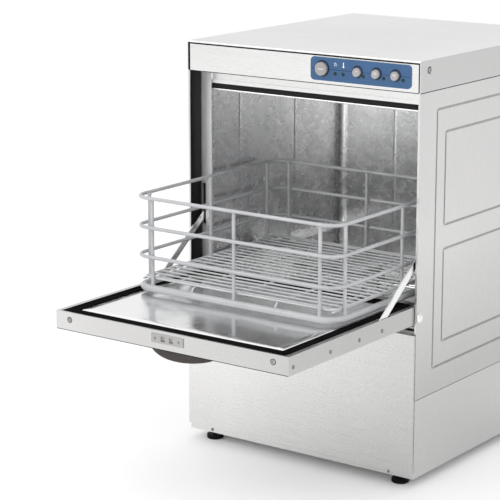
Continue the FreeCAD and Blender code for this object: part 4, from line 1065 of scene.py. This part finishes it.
reach = box("water_inlet")[1].y - back_y
cut_r, cut_h = thread(13.2, 3.2, reach - 0.4, 1.8, 1.0)
fitting("inlet_thread", rings_of(8, 8, 11.2, 11.2, 17.2, 17.2, 13.2, cut_r, 12.6, 8),
        np.concatenate([[reach - 0.2, -22, -22, 0, 0, 3, 3], cut_h, [reach - 0.2] * 2]),
        SERVICE_PITCH, brass, "water_inlet")
reach = box("drain_spigot")[1].y - back_y
barb = np.linspace(0, 1, 60)
fitting("drain_barbs",
        np.concatenate([[8, 8, 9.5, 9.5, 15, 15, 11], 9.9 + 1.1 * (1 - (barb * 4) % 1), [9.4, 8]]),
        np.concatenate([[reach, -18, -18, 0, 0, 3, 3], 3.1 + barb * (reach - 3.3), [reach, reach]]),
        0, black_plastic, "drain_spigot")
hexagon = 11.2 / np.cos((angle + math.pi / 6) % (math.pi / 3) - math.pi / 6)
fitting("gland_nut",
        rings_of(4.5, 4.5, 8.9, 8.9, hexagon, hexagon, hexagon * 0.94, 8.6, 8.6, 7.2, 5.4, 4.5),
        [12, -10, -10, 0, 0, 4.4, 5.0, 5.0, 9.0, 11.0, 12.0, 12.0], -SERVICE_PITCH, black_plastic,
        "cable_gland")

# %% [markdown]
# The machine stands on four screw feet. The rubber pad has a grooved side, a cosine of height
# in its radius, and the stem has a coarse thread so that the machine can be levelled.

# %% Feet
feet_low, feet_high = box("levelling_feet")
PAD, stem_top = 15, feet_high.z - 0.1
pad_h = np.linspace(0.8, 7.2, 40)
stem_r, stem_h = thread(5, 8.1, stem_top, 2, 0.7, 60)
foot_r = rings_of(0, 13.4, (14.3 + 0.4 * np.cos(pad_h * math.pi * 1.6))[:, None], 13.4, 5.4, stem_r, 0)
foot_h = np.concatenate([[0, 0], pad_h, [8, 8], stem_h, [stem_top]])
feet = [turned(foot_r, foot_h, (x, y, 0), "+z", 48) for x in (feet_low.x + PAD, feet_high.x - PAD)
        for y in (feet_low.y + PAD, feet_high.y - PAD)]
build("screw_feet", feet, black_plastic, "cabinet", ["levelling_feet"])

# %% [markdown]
# The pump motor's case has cooling fins all round. Its radius is a base circle plus a squared
# cosine of the angle, which makes upright, rounded fins, and it fades out at both end bells.

# %% Pump motor
motor_low, motor_high = box("wash_pump_motor")
motor_mid = (motor_low + motor_high) / 2
FINS, FIN_DEPTH = 18, 0.1
around = np.linspace(0, 2 * math.pi, 192, endpoint=False)
t = np.concatenate([[0, 0], np.linspace(0, 1, 24), [1, 1]])
to_end = np.minimum(t, 1 - t)
bell = np.concatenate([[0, 0.8], 0.86 + 0.14 * smooth_step(to_end[2:-2] / 0.08), [0.8, 0]])
ease = smooth_step((to_end - 0.1) / 0.04)[:, None]
motor_r = (motor_high.x - motor_low.x) / 2 * (bell[:, None] - FIN_DEPTH * ease
                                              * (1 - np.cos(around * FINS) ** 2)[None])
motor = turned(motor_r, t * (motor_high.y - motor_low.y), (motor_mid.x, motor_low.y, motor_mid.z), "+y", 192)
build("finned_motor", [motor], motor_coat, "cabinet", ["wash_pump_motor"])

# %% [markdown]
# The floor is a large pale sheet. Its only job is to catch a faint shadow, so it is one flat
# surface with a hint of unevenness in its roughness.

# %% Floor
floor_mesh = bpy.data.meshes.new("studio_floor")
REACH = 16
floor_mesh.from_pydata([(-REACH, -REACH, 0), (REACH, -REACH, 0), (REACH, REACH, 0), (-REACH, REACH, 0)],
                       [], [(0, 1, 2, 3)])
floor = bpy.data.objects.new("studio_floor", floor_mesh)
bpy.context.scene.collection.objects.link(floor)
floor_paint = finish("pale_floor", (0.97, 0.97, 0.97), 0.7)
paint(floor_paint, "Roughness", spread(floor_paint, noise(floor_paint, (9, 9, 9)), 0.62, 0.8))
floor_mesh.materials.append(floor_paint)
print("floor made")
